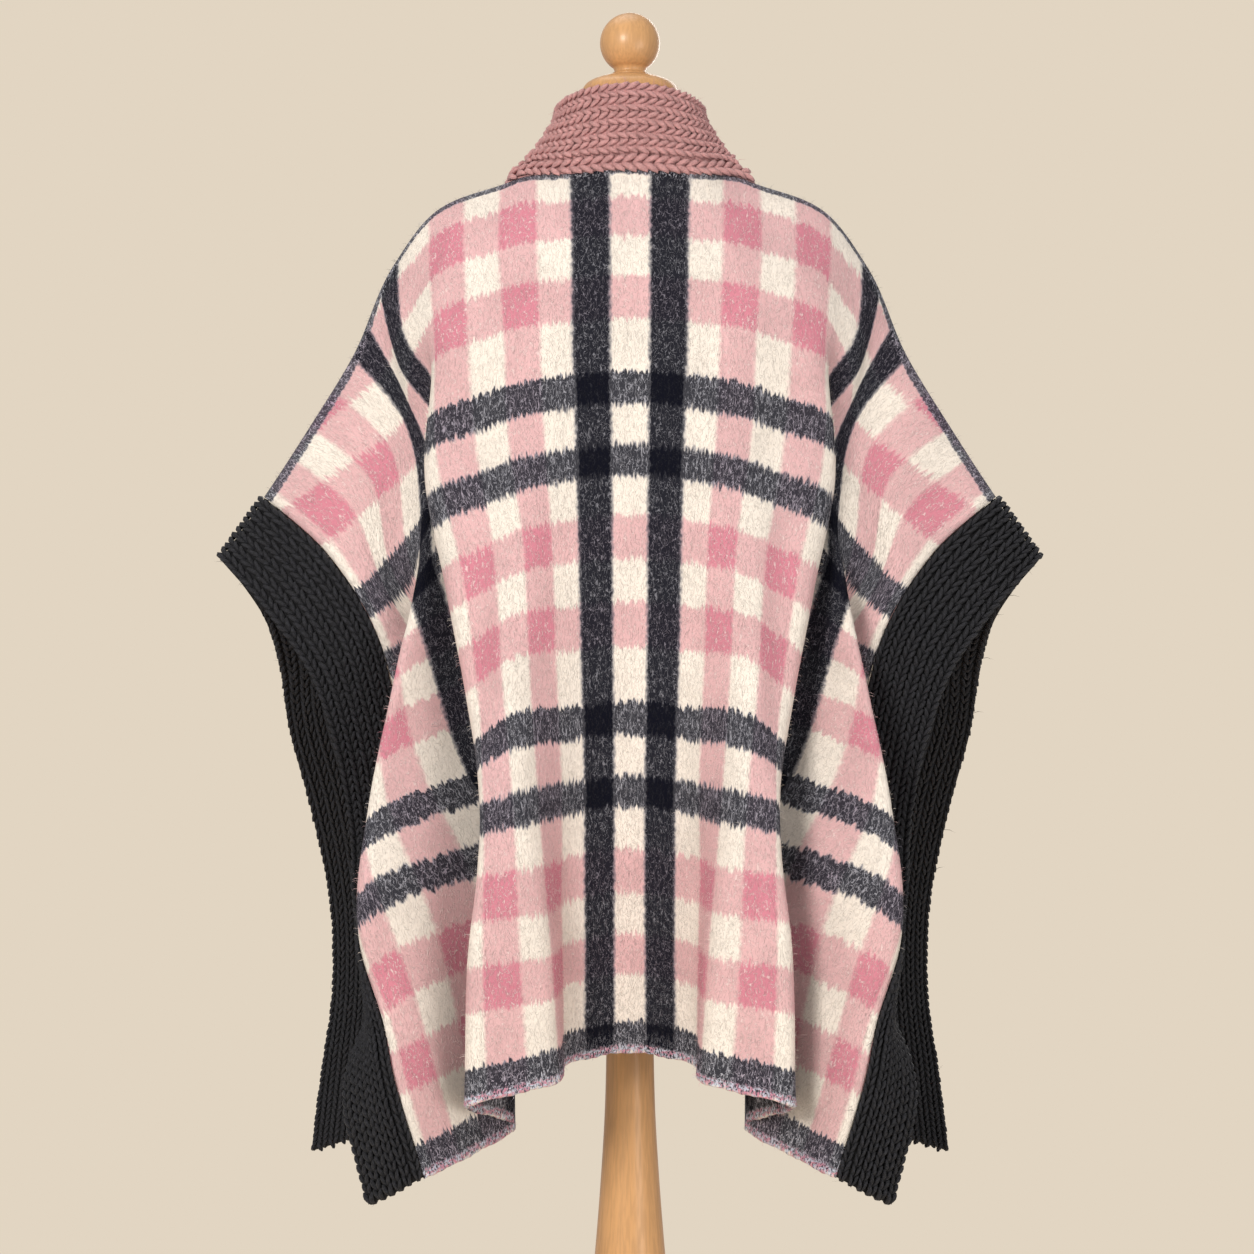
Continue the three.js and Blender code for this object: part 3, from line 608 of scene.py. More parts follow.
def shader_group(name, inputs, outputs):
    group = bpy.data.node_groups.new(name, "ShaderNodeTree")
    for title, kind, value in inputs:
        made = group.interface.new_socket(title, in_out="INPUT", socket_type=kind)
        if value is not None:
            made.default_value = value
    for title, kind in outputs:
        group.interface.new_socket(title, in_out="OUTPUT", socket_type=kind)
    return group, group.nodes.new("NodeGroupInput"), group.nodes.new("NodeGroupOutput")


def math_node(tree, operation, a, b=None, clamp=False):
    values = {0: a} if b is None else {0: a, 1: b}
    return add_node(tree, "ShaderNodeMath", values, operation=operation, use_clamp=clamp).outputs[0]


def summed(tree, *terms):
    total = terms[0]
    for term in terms[1:]:
        total = math_node(tree, "ADD", total, term)
    return total


def product(tree, *terms):
    total = terms[0]
    for term in terms[1:]:
        total = math_node(tree, "MULTIPLY", total, term)
    return total


def ramped(tree, value, low, high, start=0.0, end=1.0):
    """The value's way from low to high, eased, as start to end."""
    return add_node(tree, "ShaderNodeMapRange", {0: value, 1: low, 2: high, 3: start, 4: end},
                    interpolation_type="SMOOTHSTEP").outputs[0]


def mapped(tree, place, scale, turn=0.0, shift=0.0):
    return add_node(tree, "ShaderNodeMapping", {
        "Vector": place, "Scale": (*scale, 1.0), "Rotation": (0, 0, turn), "Location": (shift, shift * 0.7, 0)}).outputs[0]


def noise(tree, place, detail=0.0, dimensions="2D", scale=1.0, **values):
    node = add_node(tree, "ShaderNodeTexNoise", {
        "Vector": place, "Scale": scale, "Detail": detail, **values}, noise_dimensions=dimensions)
    return node.outputs[0]


def mix_colour(tree, factor, a, b):
    node = add_node(tree, "ShaderNodeMix", data_type="RGBA")
    for socket, value in ((0, factor), (6, a), (7, b)):
        if isinstance(value, bpy.types.NodeSocket):
            tree.links.new(value, node.inputs[socket])
        elif socket == 0:
            node.inputs[socket].default_value = value
        else:
            node.inputs[socket].default_value = (*value[:3], 1)
    return node.outputs[2]


def scaled_colour(tree, colour, by):
    return add_node(tree, "ShaderNodeVectorMath", {0: colour, 3: by}, operation="SCALE").outputs[0]


def stripe_ramp(tree, stripes, span, place, soft):
    """Three masks for cream, pink and navy in red, green and blue, from a place 0 to 1 along the stripes."""
    tints = {CREAM: (1, 0, 0, 1), PINK: (0, 1, 0, 1), NAVY: (0, 0, 1, 1)}
    node = add_node(tree, "ShaderNodeValToRGB", {0: place})
    ramp = node.color_ramp
    ramp.interpolation = "LINEAR"
    stops = [(0.0, tints[stripes[0][0]])]
    at = 0.0
    for (before, width), (after, _) in zip(stripes[:-1], stripes[1:]):
        at += width
        stops += [((at - soft) / span, tints[before]), ((at + soft) / span, tints[after])]
    while len(ramp.elements) < len(stops):
        ramp.elements.new(0.5)
    for element, (position, tint) in zip(ramp.elements, stops):
        element.position = position
        element.color = tint
    apart = add_node(tree, "ShaderNodeSeparateColor", {0: node.outputs[0]})
    return apart.outputs[1], apart.outputs[2]


def fibre_group():
    """Masks of short curved fibres lying on brushed cloth, at a place on it in metres."""
    group, given, result = shader_group("brushed fibres", [("Place", "NodeSocketVector", None)],
                                        [("Fine", "NodeSocketFloat"), ("Upright", "NodeSocketFloat")])
    place = given.outputs["Place"]
    layers = []
    for turn, scale, shift, width in ((0.3, (330, 150), 0.0, 0.050), (-0.5, (350, 165), 3.7, 0.050),
                                      (1.2, (300, 170), 8.1, 0.045), (0.0, (420, 120), 5.3, 0.085)):
        spot = mapped(group, place, scale, turn, shift)
        line = math_node(group, "ABSOLUTE", math_node(group, "SUBTRACT", noise(group, spot, Distortion=0.5), 0.5))
        broken = ramped(group, noise(group, mapped(group, spot, (0.9, 0.7), 0.0, 11.0)), 0.47, 0.53)
        layers.append(product(group, ramped(group, line, width, 0.0), broken))
    fine = math_node(group, "MAXIMUM", math_node(group, "MAXIMUM", layers[0], layers[1]), layers[2])
    group.links.new(fine, result.inputs["Fine"])
    group.links.new(math_node(group, "MAXIMUM", layers[3], math_node(group, "MULTIPLY", fine, 0.8)),
                    result.inputs["Upright"])
    return group


def plaid_group(knit):
    """Colours and height of the brushed plaid at a place on the flat cloth, in metres."""
    group, given, result = shader_group(
        "brushed plaid", [("Place", "NodeSocketVector", None), ("Scoop", "NodeSocketFloat", 0.01)],
        [("Colour", "NodeSocketColor"), ("Light", "NodeSocketColor"), ("Dark", "NodeSocketFloat"),
         ("Solid", "NodeSocketFloat"), ("Height", "NodeSocketFloat")])
    place = given.outputs["Place"]
    parts = add_node(group, "ShaderNodeSeparateXYZ", {0: place})
    across, down = math_node(group, "ABSOLUTE", parts.outputs[0]), parts.outputs[1]
    fibres = add_group(group, fibre_group(), {"Place": place})
    fine, upright = fibres.outputs["Fine"], fibres.outputs["Upright"]
    grain = noise(group, mapped(group, place, (620, 330)), 2.0, Roughness=0.6)
    broad = noise(group, mapped(group, place, (26, 20)), 2.0)

    # ragged stripe edges: narrow teeth across the cloth and a softer waver down it
    tooth = product(group, math_node(group, "SUBTRACT", noise(group, mapped(group, place, (330, 75)), 1.0), 0.5), 0.015)
    waver = product(group, math_node(group, "SUBTRACT", noise(group, mapped(group, place, (260, 200)), 1.0), 0.5), 0.004)
    half = SEAM + 30
    warp_pink, warp_navy = stripe_ramp(
        group, STRIPES_ACROSS, half,
        math_node(group, "DIVIDE", math_node(group, "ADD", across, waver), half * MM), 1.6)
    repeat = sum(width for _, width in STRIPES_DOWN)
    turns = math_node(group, "DIVIDE", summed(group, down, -STRIPES_START * MM, tooth), repeat * MM)
    weft_pink, weft_navy = stripe_ramp(
        group, STRIPES_DOWN + [(NAVY, 0)], repeat,
        math_node(group, "FRACT", math_node(group, "ADD", turns, 4.0)), 1.7)

    pinks = math_node(group, "POWER", product(group, math_node(group, "ADD", warp_pink, weft_pink), 0.5), 0.72)
    light = mix_colour(group, pinks, tuple(knit.cream), tuple(knit.pink))
    paler = product(group, fine, summed(group, product(group, pinks, 0.50), 0.05))
    light = mix_colour(group, paler, light, (0.95, 0.88, 0.82))
    light = scaled_colour(group, light, product(
        group, ramped(group, grain, 0.25, 0.75, 0.95, 1.04), ramped(group, broad, 0.3, 0.7, 0.95, 1.03)))

    # the thin heather line along the shoulder, under the collar and at the hem
    lap = math_node(group, "MINIMUM", math_node(group, "DIVIDE", across, NECK * MM), 1.0)
    scoop = product(group, given.outputs["Scoop"], math_node(group, "SUBTRACT", 1.0, product(group, lap, lap)))
    slope = product(group, math_node(group, "MAXIMUM", summed(group, across, -SHOULDER * MM), 0.0), SLEEVE_SLOPE)
    inside = summed(group, down, product(group, scoop, -1.0), product(group, slope, -1.0), product(group, tooth, 0.25))
    side = product(group, lap, lap, lap, lap, 0.0075)
    ridge = ramped(group, math_node(group, "SUBTRACT", inside, side), 0.0125, 0.0100)
    roll = ramped(group, summed(group, down, product(group, waver, 1.2)), (HEM - 8.5) * MM, (HEM - 4.0) * MM)

    both = product(group, warp_navy, weft_navy)
    either = math_node(group, "MAXIMUM", warp_navy, weft_navy)
    one_warp = math_node(group, "SUBTRACT", warp_navy, both)
    one_weft = math_node(group, "SUBTRACT", weft_navy, both)
    solid = math_node(group, "MAXIMUM", product(group, warp_navy, 0.975), product(group, weft_navy, 0.93))
    solid = math_node(group, "MAXIMUM", solid, both)
    solid = math_node(group, "MAXIMUM", solid, product(group, ridge, 0.86))
    low_edge = ramped(group, down, (HEM - 26) * MM, (HEM - 12) * MM)
    opened = summed(group, product(group, one_warp, fine, 0.36), product(group, one_weft, upright, 0.64),
                    product(group, low_edge, upright, 0.30),
                    product(group, both, fine, 0.03), product(group, ridge, math_node(group, "MAXIMUM", fine, upright), 0.8))
    dark = math_node(group, "SUBTRACT", solid, opened, clamp=True)
    dark = math_node(group, "SUBTRACT", dark, product(group, roll, ramped(group, grain, 0.42, 0.52, 0.0, 0.75)), clamp=True)
    heather = mix_colour(group, math_node(group, "MAXIMUM", product(group, either, 0.72), product(group, ridge, 0.7)),
                         light, (0.40, 0.43, 0.55))
    colour = mix_colour(group, dark, heather, tuple(knit.navy))
    spots = ramped(group, noise(group, mapped(group, place, (150, 260), 0.4, 2.0), 1.0), 0.44, 0.56)
    edge_tint = mix_colour(group, spots, (0.62, 0.66, 0.78), (0.66, 0.22, 0.32))
    colour = mix_colour(group, product(group, roll, ramped(group, grain, 0.44, 0.55, 0.0, 0.75)), colour, edge_tint)
    group.links.new(colour, result.inputs["Colour"])
    group.links.new(heather, result.inputs["Light"])
    group.links.new(math_node(group, "MAXIMUM", solid, roll), result.inputs["Solid"])
    group.links.new(summed(group, product(group, one_warp, 0.5), one_weft, product(group, ridge, 0.7)),
                    result.inputs["Dark"])
    group.links.new(summed(group, product(group, fine, 0.5), product(group, grain, 0.22), product(group, upright, 0.12)),
                    result.inputs["Height"])
    return group


def yarn_group():
    """Twisted plies and loose fibres on chunky yarn, by the object's own coordinates."""
    group, given, result = shader_group("chunky yarn", [
        ("Yarn", "NodeSocketColor", (0.5, 0.5, 0.5, 1)), ("Contrast", "NodeSocketFloat", 0.3)],
        [("Colour", "NodeSocketColor"), ("Height", "NodeSocketFloat")])
    place = add_node(group, "ShaderNodeTexCoord").outputs["Object"]
    fibres = noise(group, place, 2.0, "3D", 620.0, Roughness=0.6, Distortion=1.0)
    plies = noise(group, place, 1.0, "3D", 150.0)
    low = math_node(group, "SUBTRACT", 1.0, given.outputs["Contrast"])
    high = math_node(group, "ADD", 1.0, given.outputs["Contrast"])
    toned = scaled_colour(group, given.outputs["Yarn"], product(
        group, ramped(group, fibres, 0.32, 0.68, low, high), ramped(group, plies, 0.3, 0.7, 0.88, 1.1)))
    group.links.new(toned, result.inputs["Colour"])
    group.links.new(summed(group, fibres, product(group, plies, 0.6)), result.inputs["Height"])
    return group


def principled(name, roughness, sheen=0.0, coat=0.0, specular=0.5):
    """A material with a Principled shader whose even values are set on its own sockets."""
    material = bpy.data.materials.new(name)
    material.use_nodes = True
    shader = material.node_tree.nodes["Principled BSDF"]
    shader.inputs["Roughness"].default_value = roughness
    shader.inputs["Specular IOR Level"].default_value = specular
    shader.inputs["Sheen Weight"].default_value = sheen
    shader.inputs["Sheen Roughness"].default_value = 0.5
    shader.inputs["Coat Weight"].default_value = coat
    shader.inputs["Coat Roughness"].default_value = 0.25
    return material, material.node_tree, shader


def add_group(tree, group, values=()):
    return add_node(tree, tree.bl_idname.replace("NodeTree", "NodeGroup"), values, node_tree=group)


def bump_into(tree, shader, height, distance, strength=1.0):
    bump = add_node(tree, "ShaderNodeBump", {"Height": height, "Distance": distance, "Strength": strength})
    tree.links.new(bump.outputs[0], shader.inputs["Normal"])


def plaid_of(knit):
    return bpy.data.node_groups.get("brushed plaid") or plaid_group(knit)


def plaid_material(knit, panel):
    material, tree, shader = principled("brushed plaid " + panel.title, 0.95, sheen=0.03, specular=0.05)
    place = add_node(tree, "ShaderNodeUVMap", uv_map="cloth").outputs[0]
    cloth = add_group(tree, plaid_of(knit), {"Place": place, "Scoop": panel.scoop * MM})
    tree.links.new(cloth.outputs["Colour"], shader.inputs["Base Color"])
    bump_into(tree, shader, cloth.outputs["Height"], 0.0005)
    return material


def nap_material(knit, panel):
    """The fibres take the plaid's colour at their root, and some over the dark stripes are light."""
    material, tree, shader = principled("plaid nap " + panel.title, 0.9, sheen=0.03, specular=0.05)
    place = add_node(tree, "ShaderNodeAttribute", attribute_name="root").outputs["Vector"]
    cloth = add_group(tree, plaid_of(knit), {"Place": place, "Scoop": panel.scoop * MM})
    chance = add_node(tree, "ShaderNodeTexWhiteNoise", {"Vector": scaled_colour(tree, place, 977.0)}).outputs[0]
    strays = product(tree, cloth.outputs["Dark"], ramped(tree, chance, 0.74, 0.76, 0.0, 0.45))
    colour = mix_colour(tree, strays, cloth.outputs["Colour"], cloth.outputs["Light"])
    pale = product(tree, ramped(tree, chance, 0.45, 0.40, 0.0, 0.5),
                   math_node(tree, "SUBTRACT", 1.0, cloth.outputs["Solid"]))
    colour = mix_colour(tree, pale, colour, (0.98, 0.89, 0.85))
    tree.links.new(colour, shader.inputs["Base Color"])
    return material


def yarn_material(name, colour, contrast, sheen):
    made = bpy.data.materials.get(name)
    if made:
        return made
    material, tree, shader = principled(name, 0.65, sheen=sheen, specular=0.3)
    group = bpy.data.node_groups.get("chunky yarn") or yarn_group()
    yarn = add_group(tree, group, {"Yarn": (*colour, 1), "Contrast": contrast})
    tree.links.new(yarn.outputs["Colour"], shader.inputs["Base Color"])
    bump_into(tree, shader, yarn.outputs["Height"], 0.0012)
    return material


def wood_material(colour):
    made = bpy.data.materials.get("honey wood")
    if made:
        return made
    material, tree, shader = principled("honey wood", 0.42, coat=0.25, specular=0.4)
    place = add_node(tree, "ShaderNodeTexCoord").outputs["Object"]
    long = add_node(tree, "ShaderNodeMapping", {"Vector": place, "Scale": (1.0, 1.0, 0.07)}).outputs[0]
    figure = noise(tree, long, 4.0, "3D", 46.0, Roughness=0.55, Distortion=0.6)
    pores = noise(tree, long, 2.0, "3D", 420.0)
    base = mix_colour(tree, ramped(tree, figure, 0.3, 0.72), tuple(c * 0.90 for c in colour),
                      tuple(min(1, c * 1.06) for c in colour))
    toned = scaled_colour(tree, base, ramped(tree, pores, 0.35, 0.62, 0.90, 1.03))
    tree.links.new(toned, shader.inputs["Base Color"])
    tree.links.new(ramped(tree, pores, 0.3, 0.7, 0.5, 0.36), shader.inputs["Roughness"])
    bump_into(tree, shader, pores, 0.0002, 0.5)
    return material


def linen_material():
    material, tree, shader = principled("form linen", 0.9, sheen=0.1, specular=0.2)
    place = add_node(tree, "ShaderNodeTexCoord").outputs["Object"]
    level = add_node(tree, "ShaderNodeMapping", {"Vector": place, "Scale": (1, 1, 14)}).outputs[0]
    upright = add_node(tree, "ShaderNodeMapping", {"Vector": place, "Scale": (12, 12, 1)}).outputs[0]
    weave = summed(tree, noise(tree, level, 2.0, "3D", 130.0), noise(tree, upright, 2.0, "3D", 110.0))
    colour = mix_colour(tree, ramped(tree, weave, 0.7, 1.3), (0.55, 0.47, 0.36), (0.74, 0.66, 0.54))
    tree.links.new(colour, shader.inputs["Base Color"])
    bump_into(tree, shader, weave, 0.0006)
    return material


# Pieces

def nap_on(cloth, knit, density, length, lift, seed, finish):
    """Brushed fibres on the cloth's shown faces, as one plain mesh."""
    fibre = bpy.data.objects.get("fibre") or fibre_object()
    tree = bpy.data.node_groups.get("brushed nap") or nap_tree()
    return grown(cloth, cloth.name + "_nap", tree, {
        "Fibre": fibre, "Density": density, "Length": length, "Lift": lift, "Seed": seed, "Finish": finish})


def panel_cloth(name, panel, node, knit):
    """The panel's cloth with its nap: a closed shell on the panel's solid, rolled at the hem."""
    u = np.linspace(-SEAM, SEAM, 177)
    t = np.concatenate([[SEAM_GAP / HEM / RIDGE_PULL / 2], np.linspace(0, 1, 134)[1:]])
    grid_u, grid_t = (g.ravel() for g in np.meshgrid(u, t, indexing="ij"))
    grid_v = panel.v(grid_u, grid_t)
    shape = (len(u), len(t), 3)
    swell = 0.9 * np.clip(1 - (HEM - grid_v) / 9, 0, 1)
    ripple = 0.8 + 0.2 * np.sin(grid_u / 1.9) + 0.25 * np.sin(grid_u / 6.7 + 1.3)
    outer = panel.place(grid_u, grid_t, CLOTH + swell * ripple).reshape(shape)
    inner = panel.place(grid_u, grid_t, -swell * ripple).reshape(shape)
    middle = (outer[:, -1] + inner[:, -1]) / 2
    reach = (outer[:, -1] - inner[:, -1]) / 2
    drop = unit((outer[:, -1] + inner[:, -1] - outer[:, -2] - inner[:, -2]) / 2)
    edge_ripple = (2.4 * ripple.reshape(len(u), len(t))[:, -1])[:, None]
    roll = np.stack([middle + reach * np.cos(a) + drop * edge_ripple * np.sin(a)
                     for a in np.pi * np.arange(1, 5) / 5], axis=1)
    sections = np.concatenate([outer, roll, inner[:, ::-1]], axis=1)
    flat = np.stack([grid_u, grid_v], axis=1).reshape(len(u), len(t), 2)
    below = flat[:, -1:] + np.array([[[0, 0.8], [0, 1.6], [0, 1.6], [0, 0.8]]])
    uv = np.concatenate([flat, below, flat[:, ::-1]], axis=1).reshape(-1, 2)
    n, m = sections.shape[:2]
    quads = loop_faces(n, m)
    shown = np.tile(np.arange(m) < len(t) + 2, n - 1)
    for base, turn in ((0, 1), ((n - 1) * m, -1)):
        for j in range(len(t) - 1):
            quads.append((base + j, base + j + 1, base + m - 2 - j, base + m - 1 - j)[::turn])
        quads.append(tuple(base + j for j in range(len(t) - 1, len(t) + 5))[::turn])
    shown = np.concatenate([shown, np.zeros(len(quads) - len(shown), bool)])
    cloth = point_out(new_object(name, sections.reshape(-1, 3), quads, uv, shown))
    cloth.data.materials.append(plaid_material(knit, panel))
    nap = nap_on(cloth, knit, knit.nap_density, knit.nap_length, 1.05, 11 if panel is BACK else 23,
                 nap_material(knit, panel))
    nap.visible_shadow = False
    for piece in (cloth, nap):
        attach(piece, "root")
    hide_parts(node)
    half = u[u >= 0]
    area = 2 * MM * MM * float(np.trapz(HEM - panel.top(half), half))
    return cloth


def stitches(name, points, along, outward, size, stitch, finish, seed):
    """Instances of a stitch on points in millimetres, as one plain mesh."""
    seeds = new_object(name + "_places", points, [], attributes=[
        ("along", along), ("outward", outward), ("size", size)])
    tree = bpy.data.node_groups.get("stitch rows") or stitch_tree()
    made = grown(seeds, name, tree, {"Stitch": stitch, "Unevenness": 0.06, "Seed": seed, "Finish": finish})
    bpy.data.objects.remove(seeds)
    return made


def band_cloth(name, hand, knit):
    """A rib band: a thin core, painted darker as shade in its grooves, with columns of chunky stitches on both faces.
    """
    yarn = yarn_material("charcoal yarn", knit.charcoal, 0.6, 0.05)
    ribs = knit.band_ribs
    first, width = SEAM + SEAM_GAP, EDGE - SEAM - SEAM_GAP
    s = np.linspace(-1, 1, 201)
    across = np.linspace(0, 1, ribs * 4 + 1)
    wave = 0.5 - 0.5 * np.cos(across * ribs * 2 * np.pi)
    loops = []
    for place_s in s:
        line = np.full(len(across), place_s)
        top = band_place(hand, first + width * across, line, 1.9 + 0.9 * wave)
        low = band_place(hand, first + width * across[::-1], line, 1.1 - 0.9 * wave[::-1])
        loops.append(np.concatenate([top, low]))
    side = np.concatenate([first + width * across, first + width * across[::-1]])
    uv = np.stack(np.broadcast_arrays(side[None, :], (s * (HEM - 90))[:, None]), axis=-1)
    core = wall_object(name, np.array(loops), uv)
    # the core is the band yarn at 0.4 of its colour and with no sheen: painted shade in the grooves between the stitch
    # columns
    core.data.materials.append(yarn_material("charcoal grooves", [0.4 * c for c in knit.charcoal], 0.3, 0.0))

    length = HEM - BACK.top(np.array([SEAM]))[0]
    rows = int(round(2 * length * MM / knit.stitch_pitch)) | 1
    places = (np.arange(rows) + 0.5) / rows * 2 - 1
    columns = first + width * (np.arange(ribs) + 0.5) / ribs
    u, at = (g.ravel() for g in np.meshgrid(columns, places))
    fore, aft = np.clip(at + 0.003, -1, 1), np.clip(at - 0.003, -1, 1)
    made = []
    for face, out, stitch, tag in ((1, 2.5, "band_stitch", ""), (-1, 0.5, "band_inner_stitch", "_inside")):
        level = np.full(len(u), out)
        here = band_place(hand, u, at, level)
        run = band_place(hand, u, fore, level) - band_place(hand, u, aft, level)
        aside = band_place(hand, u + 2, at, level) - band_place(hand, u - 2, at, level)
        outward = unit(np.cross(aside, run))
        outward *= np.sign((outward * (band_place(hand, u, at, level + face) - here)).sum(axis=1, keepdims=True))
        stretch = np.linalg.norm(run, axis=1) / (fore - aft) / length
        size = np.stack([np.linalg.norm(aside, axis=1) / 4, np.maximum(stretch, 0.75), np.ones(len(u))], axis=1)
        size[at == 0] *= 1.2
        made.append(stitches(name + "_stitches" + tag, here, unit(run), outward, size,
                             bpy.data.objects[stitch], yarn, 5 + face + hand))
    nap = nap_on(core, knit, 9000.0, 0.010, 0.9, 41 + hand, yarn)
    for piece in (core, *made, nap):
        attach(piece, "root")
    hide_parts(name.removesuffix("_cloth"))


def collar_cloth(knit):
    """The folded collar: a core wall with rows of sideways stitches and a plaited row at its foot."""
    yarn = yarn_material("dusty pink yarn", knit.dusty_pink, 0.14, 0.15)
    collar = Collar()
    rounds = 200
    heights = np.linspace(0, 1, 43)
    climb = np.clip(heights, 0.02, 1)
    rows = knit.collar_rows
    foot_share = 0.20
    wall = 8.4
    loops = []
    for place_p in np.arange(rounds) / rounds:
        line = np.full(len(climb), place_p)
        flap = np.clip((heights - foot_share) / 0.02, 0, 1)
        ribs = np.abs(np.sin((heights - foot_share) / (1 - foot_share) * rows * np.pi)) * flap
        outer = collar.place(line, climb, -1.4 + 1.6 * flap + 1.3 * ribs)
        inner = collar.place(line, climb[::-1] * 0.93 + 0.03, np.full(len(climb), -wall))
        one = np.array([place_p])
        top = [collar.place(one, np.array([1.0]), np.array([out]))[0] + [0, 0, up]
               for out, up in ((-0.8, 0.2), (-wall / 2, 0.8), (-wall + 0.6, 0.2))]
        loops.append(np.vstack([outer, top, inner]))
    sections = np.array(loops)
    m = sections.shape[1]
    turn = np.arange(rounds) / rounds * collar.round
    uv = np.stack(np.broadcast_arrays(turn[:, None], np.arange(m)[None, :] * 2.5), axis=-1)
    core = wall_object("collar_cloth", sections, uv, closed=True)
    core.data.materials.append(yarn)

    # name, stitch, its width and pitch, heights, out, face, stitches round
    stitch = stitch_object("collar_stitch", 12.4, 10.2, 5.0, 5.0, (0.44, 0.07))
    plait = stitch_object("collar_plait", 16.0, 14.0, 6.4, 5.6, (0.42, 0.05))
    inner = stitch_object("collar_inner_stitch", 12.4, 10.2, 5.0, 3.6, (0.44, 0.07), 4, 4)
    flap_rows = (np.arange(rows) + 0.5) / rows * (1 - foot_share) + foot_share
    jobs = [("collar_stitches", stitch, 12.4, 7.7, flap_rows, 0.8, 1, 64),
            ("collar_rim_stitches", stitch, 12.4, 7.7, np.array([1.0]), -3.8, 1, 56),
            ("collar_foot_stitches", plait, 16.0, 10.3, np.array([foot_share * 0.47]), -0.9, 1, 58),
            ("collar_inside_stitches", inner, 12.4, 7.7, (np.arange(rows) + 0.5) / rows * 0.9 + 0.08,
             -wall + 0.4, -1, 56)]
    made = []
    for title, kind, wide, pitch, at_heights, out, face, count in jobs:
        line, height = (g.ravel() for g in np.meshgrid((np.arange(count) + 0.5) / count, at_heights))
        offset = np.full(len(line), out)
        here = collar.place(line, height, offset)
        run = collar.place(line + 0.004, height, offset) - collar.place(line - 0.004, height, offset)
        over, under = np.minimum(height + 0.03, 1), np.maximum(height - 0.03, 0)
        rise = collar.place(line, over, offset) - collar.place(line, under, offset)
        outward = unit(np.cross(run, rise))
        outward *= np.sign((outward * collar.lean(line, height)).sum(axis=1, keepdims=True)) * face
        if title == "collar_rim_stitches":
            outward = unit(outward * 0.3 + np.array([0, 0, 1]))
            here[:, 2] -= 3.6
        span = np.ones(len(line))
        tall = np.linalg.norm(collar.face(line, span) - collar.face(line, 0 * span), axis=1)
        share = foot_share if kind is plait else (1 - foot_share) / rows
        high = tall * share / wide
        if title == "collar_rim_stitches":
            high = 0.62 * span
        size = np.stack([high, np.linalg.norm(run, axis=1) / 0.008 / count / pitch, span], axis=1)
        made.append(stitches(title, here, unit(run), outward, size, kind, yarn, 31 + face))
    nap = nap_on(core, knit, 60000.0, 0.009, 0.9, 57, yarn)
    for piece in (core, *made, nap):
        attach(piece, "root")
    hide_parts("collar")
    for tool in (stitch, plait, inner):
        bpy.data.objects.remove(tool)


class PONCHO_OT_panels(bpy.types.Operator):
    """Make the back and front panels with their nap"""
    bl_idname = "poncho.panels"
    bl_label = "Plaid panels"

    def execute(self, context):
        knit = context.scene.poncho_knit
        panel_cloth("back_cloth", BACK, "back_panel", knit)
        panel_cloth("front_cloth", FRONT, "front_panel", knit)
        return {"FINISHED"}


class PONCHO_OT_bands(bpy.types.Operator):
    """Make the two rib side bands"""
    bl_idname = "poncho.bands"
    bl_label = "Side bands"

    def execute(self, context):
        knit = context.scene.poncho_knit
        tools = [stitch_object("band_stitch", 12.3, 12.4, 4.3, 5.0, (0.36, 0.085)),
                 stitch_object("band_inner_stitch", 12.3, 12.4, 4.3, 3.6, (0.36, 0.085), 4, 4)]
        band_cloth("left_arm_band_cloth", 1, knit)
        band_cloth("right_arm_band_cloth", -1, knit)
        for tool in tools:
            bpy.data.objects.remove(tool)
        return {"FINISHED"}


class PONCHO_OT_collar(bpy.types.Operator):
    """Make the fold-over collar"""
    bl_idname = "poncho.collar"
    bl_label = "Collar"

    def execute(self, context):
        collar_cloth(context.scene.poncho_knit)
        bpy.data.objects.remove(bpy.data.objects["fibre"])
        return {"FINISHED"}


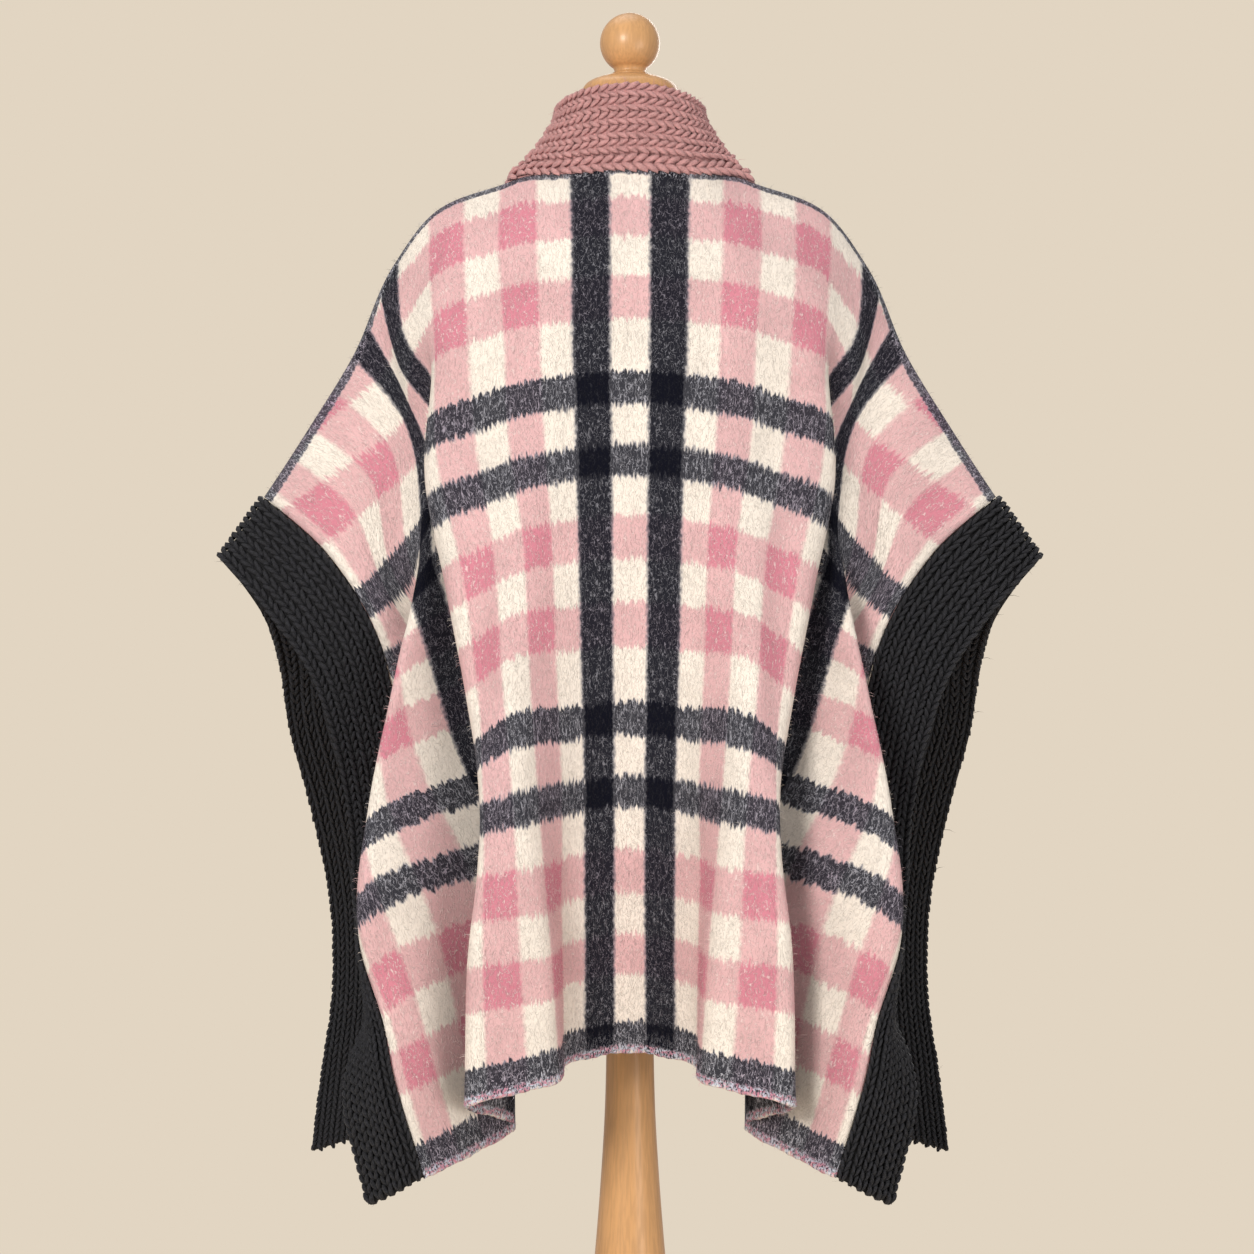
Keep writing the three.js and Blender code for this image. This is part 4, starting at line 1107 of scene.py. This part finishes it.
class PONCHO_OT_dress_form(bpy.types.Operator):
    """Make the smooth torso and the turned wooden parts"""
    bl_idname = "poncho.dress_form"
    bl_label = "Dress form"

    def execute(self, context):
        sizes = context.scene.poncho_form
        table = np.array(TORSO, float)[::-1]
        z = np.linspace(table[0, 0], table[-1, 0], 150)
        rows = curve(np.broadcast_to(table[:, 0], (len(z), len(table))),
                     np.broadcast_to(table[:, 1:], (len(z), len(table), 6)), z)
        count = 96
        angle = np.arange(count) / count * 2 * np.pi
        c, s = np.cos(angle), np.sin(angle)
        points = []
        for height, (wide, back, front, mid, back_power, front_power) in zip(z, rows):
            power = np.where(s > 0, back_power, front_power)
            deep = np.where(s > 0, back - mid, front + mid) - 1.0
            reach = (np.abs(c) ** power + np.abs(s) ** power) ** (-1 / power)
            points += list(np.stack([(wide - 1.0) * c * reach, mid + deep * s * reach, np.full(count, height)], axis=1))
        faces = loop_faces(len(z), count)
        points += [(0, 0, z[0]), (0, 0, z[-1])]
        bottom, top, last = len(points) - 2, len(points) - 1, (len(z) - 1) * count
        for j in range(count):
            k = (j + 1) % count
            faces += [(bottom, j, k), (top, last + k, last + j)]
        torso = point_out(new_object("torso", points, faces))
        torso.data.materials.append(linen_material())
        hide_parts("form_torso")

        low = np.arcsin((BALL["neck"] + 1) / BALL["radius"])
        arc = low + (np.pi - low - 0.06) * np.linspace(0, 1, 22)
        ball = [(BALL["neck"] + 3, BALL["foot"]), (BALL["neck"] + 2.4, BALL["foot"] + 1.6), (BALL["neck"], BALL["foot"] + 3)]
        ball += [(BALL["radius"] * np.sin(a), BALL["z"] - BALL["radius"] * np.cos(a)) for a in arc]
        turned = [("wooden_cap", CAP_PROFILE, "neck_cap", 6), ("wooden_finial", ball, "finial", 3),
                  ("wooden_post", POST_PROFILE, "post", 8), ("wooden_base", BASE_PROFILE, "base", 5)]
        pieces = [torso]
        for name, profile, node, smooth in turned:
            piece = turned_object(name, profile, smooth=smooth, count=128)
            piece.data.materials.append(wood_material(sizes.wood_colour))
            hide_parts(node)
            pieces.append(piece)
        for piece in pieces:
            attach(piece, "root")
        return {"FINISHED"}


class PONCHO_OT_stage(bpy.types.Operator):
    """Make the floor, the lights and the camera"""
    bl_idname = "poncho.stage"
    bl_label = "Stage"

    def execute(self, context):
        sizes = context.scene.poncho_form
        scene = context.scene
        angle = np.arange(96) / 96 * 2 * np.pi
        ring = np.stack([1400 * np.cos(angle), 1400 * np.sin(angle), np.full(96, -0.2)], axis=1)
        floor = new_object("floor", ring, [tuple(range(96))])
        material, tree, shader = principled("pale floor", 0.9, specular=0.1)
        shader.inputs["Base Color"].default_value = (*sizes.backdrop_colour, 1)
        floor.data.materials.append(material)

        world = bpy.data.worlds.new("pale room")
        scene.world = world
        world.use_nodes = True
        tree = world.node_tree
        sky = tree.nodes["Background"]
        seen = add_node(tree, "ShaderNodeLightPath").outputs["Is Camera Ray"]
        soft = (0.42, 0.41, 0.405)
        tree.links.new(mix_colour(tree, seen, soft, tuple(sizes.backdrop_colour)), sky.inputs["Color"])
        sky.inputs["Strength"].default_value = 1.0
        lamps = [("key_light", (1.5, 3.2, 2.1), 1.1, 84.0, (1.0, 0.955, 0.905)),
                 ("fill_light", (-2.0, 2.7, 0.6), 1.8, 31.0, (1.0, 0.96, 0.925)),
                 ("top_light", (0.3, -0.4, 3.2), 1.6, 12.0, (1.0, 0.96, 0.92)),
                 ("front_light", (-0.8, -3.0, 2.0), 2.2, 46.0, (1.0, 0.96, 0.92))]
        for name, place, size, power, colour in lamps:
            lamp = bpy.data.lights.new(name, "AREA")
            lamp.shape, lamp.size = "DISK", size
            lamp.energy, lamp.color = power, colour
            made = bpy.data.objects.new(name, lamp)
            made.location = place
            made.rotation_euler = (Vector((0, 0, 0.95)) - Vector(place)).to_track_quat("-Z", "Y").to_euler()
            made.visible_camera = False
            scene.collection.objects.link(made)

        lens = bpy.data.cameras.new("camera")
        lens.lens = 84.6
        lens.sensor_width = 36.0
        lens.shift_x = -0.0024
        camera = bpy.data.objects.new("camera", lens)
        camera.location = (0, sizes.camera_distance, sizes.camera_height)
        camera.rotation_euler = (np.pi / 2, 0, np.pi)
        scene.collection.objects.link(camera)
        scene.camera = camera
        scene.view_settings.view_transform = "Standard"
        return {"FINISHED"}


class PONCHO_PT_panel(bpy.types.Panel):
    """Lists the poncho's pieces"""
    bl_label = "Poncho on a dress form"
    bl_idname = "PONCHO_PT_panel"
    bl_space_type = "VIEW_3D"
    bl_region_type = "UI"
    bl_category = "Poncho"

    def draw(self, context):
        layout = self.layout
        for operator in OPERATORS:
            layout.operator(operator.bl_idname)
        for group in (context.scene.poncho_knit, context.scene.poncho_form):
            for name in group.__annotations__:
                layout.prop(group, name)


OPERATORS = (PONCHO_OT_stage, PONCHO_OT_dress_form, PONCHO_OT_panels, PONCHO_OT_bands, PONCHO_OT_collar)
CLASSES = (DressFormSizes, KnitSizes, *OPERATORS, PONCHO_PT_panel)


def register():
    for kind in CLASSES:
        bpy.utils.register_class(kind)
    bpy.types.Scene.poncho_form = PointerProperty(type=DressFormSizes)
    bpy.types.Scene.poncho_knit = PointerProperty(type=KnitSizes)


def unregister():
    del bpy.types.Scene.poncho_knit
    del bpy.types.Scene.poncho_form
    for kind in reversed(CLASSES):
        bpy.utils.unregister_class(kind)


def main():
    register()
    bpy.ops.poncho.stage()
    bpy.ops.poncho.dress_form()
    bpy.ops.poncho.panels()
    bpy.ops.poncho.bands()
    bpy.ops.poncho.collar()


if __name__ == "__main__":
    main()
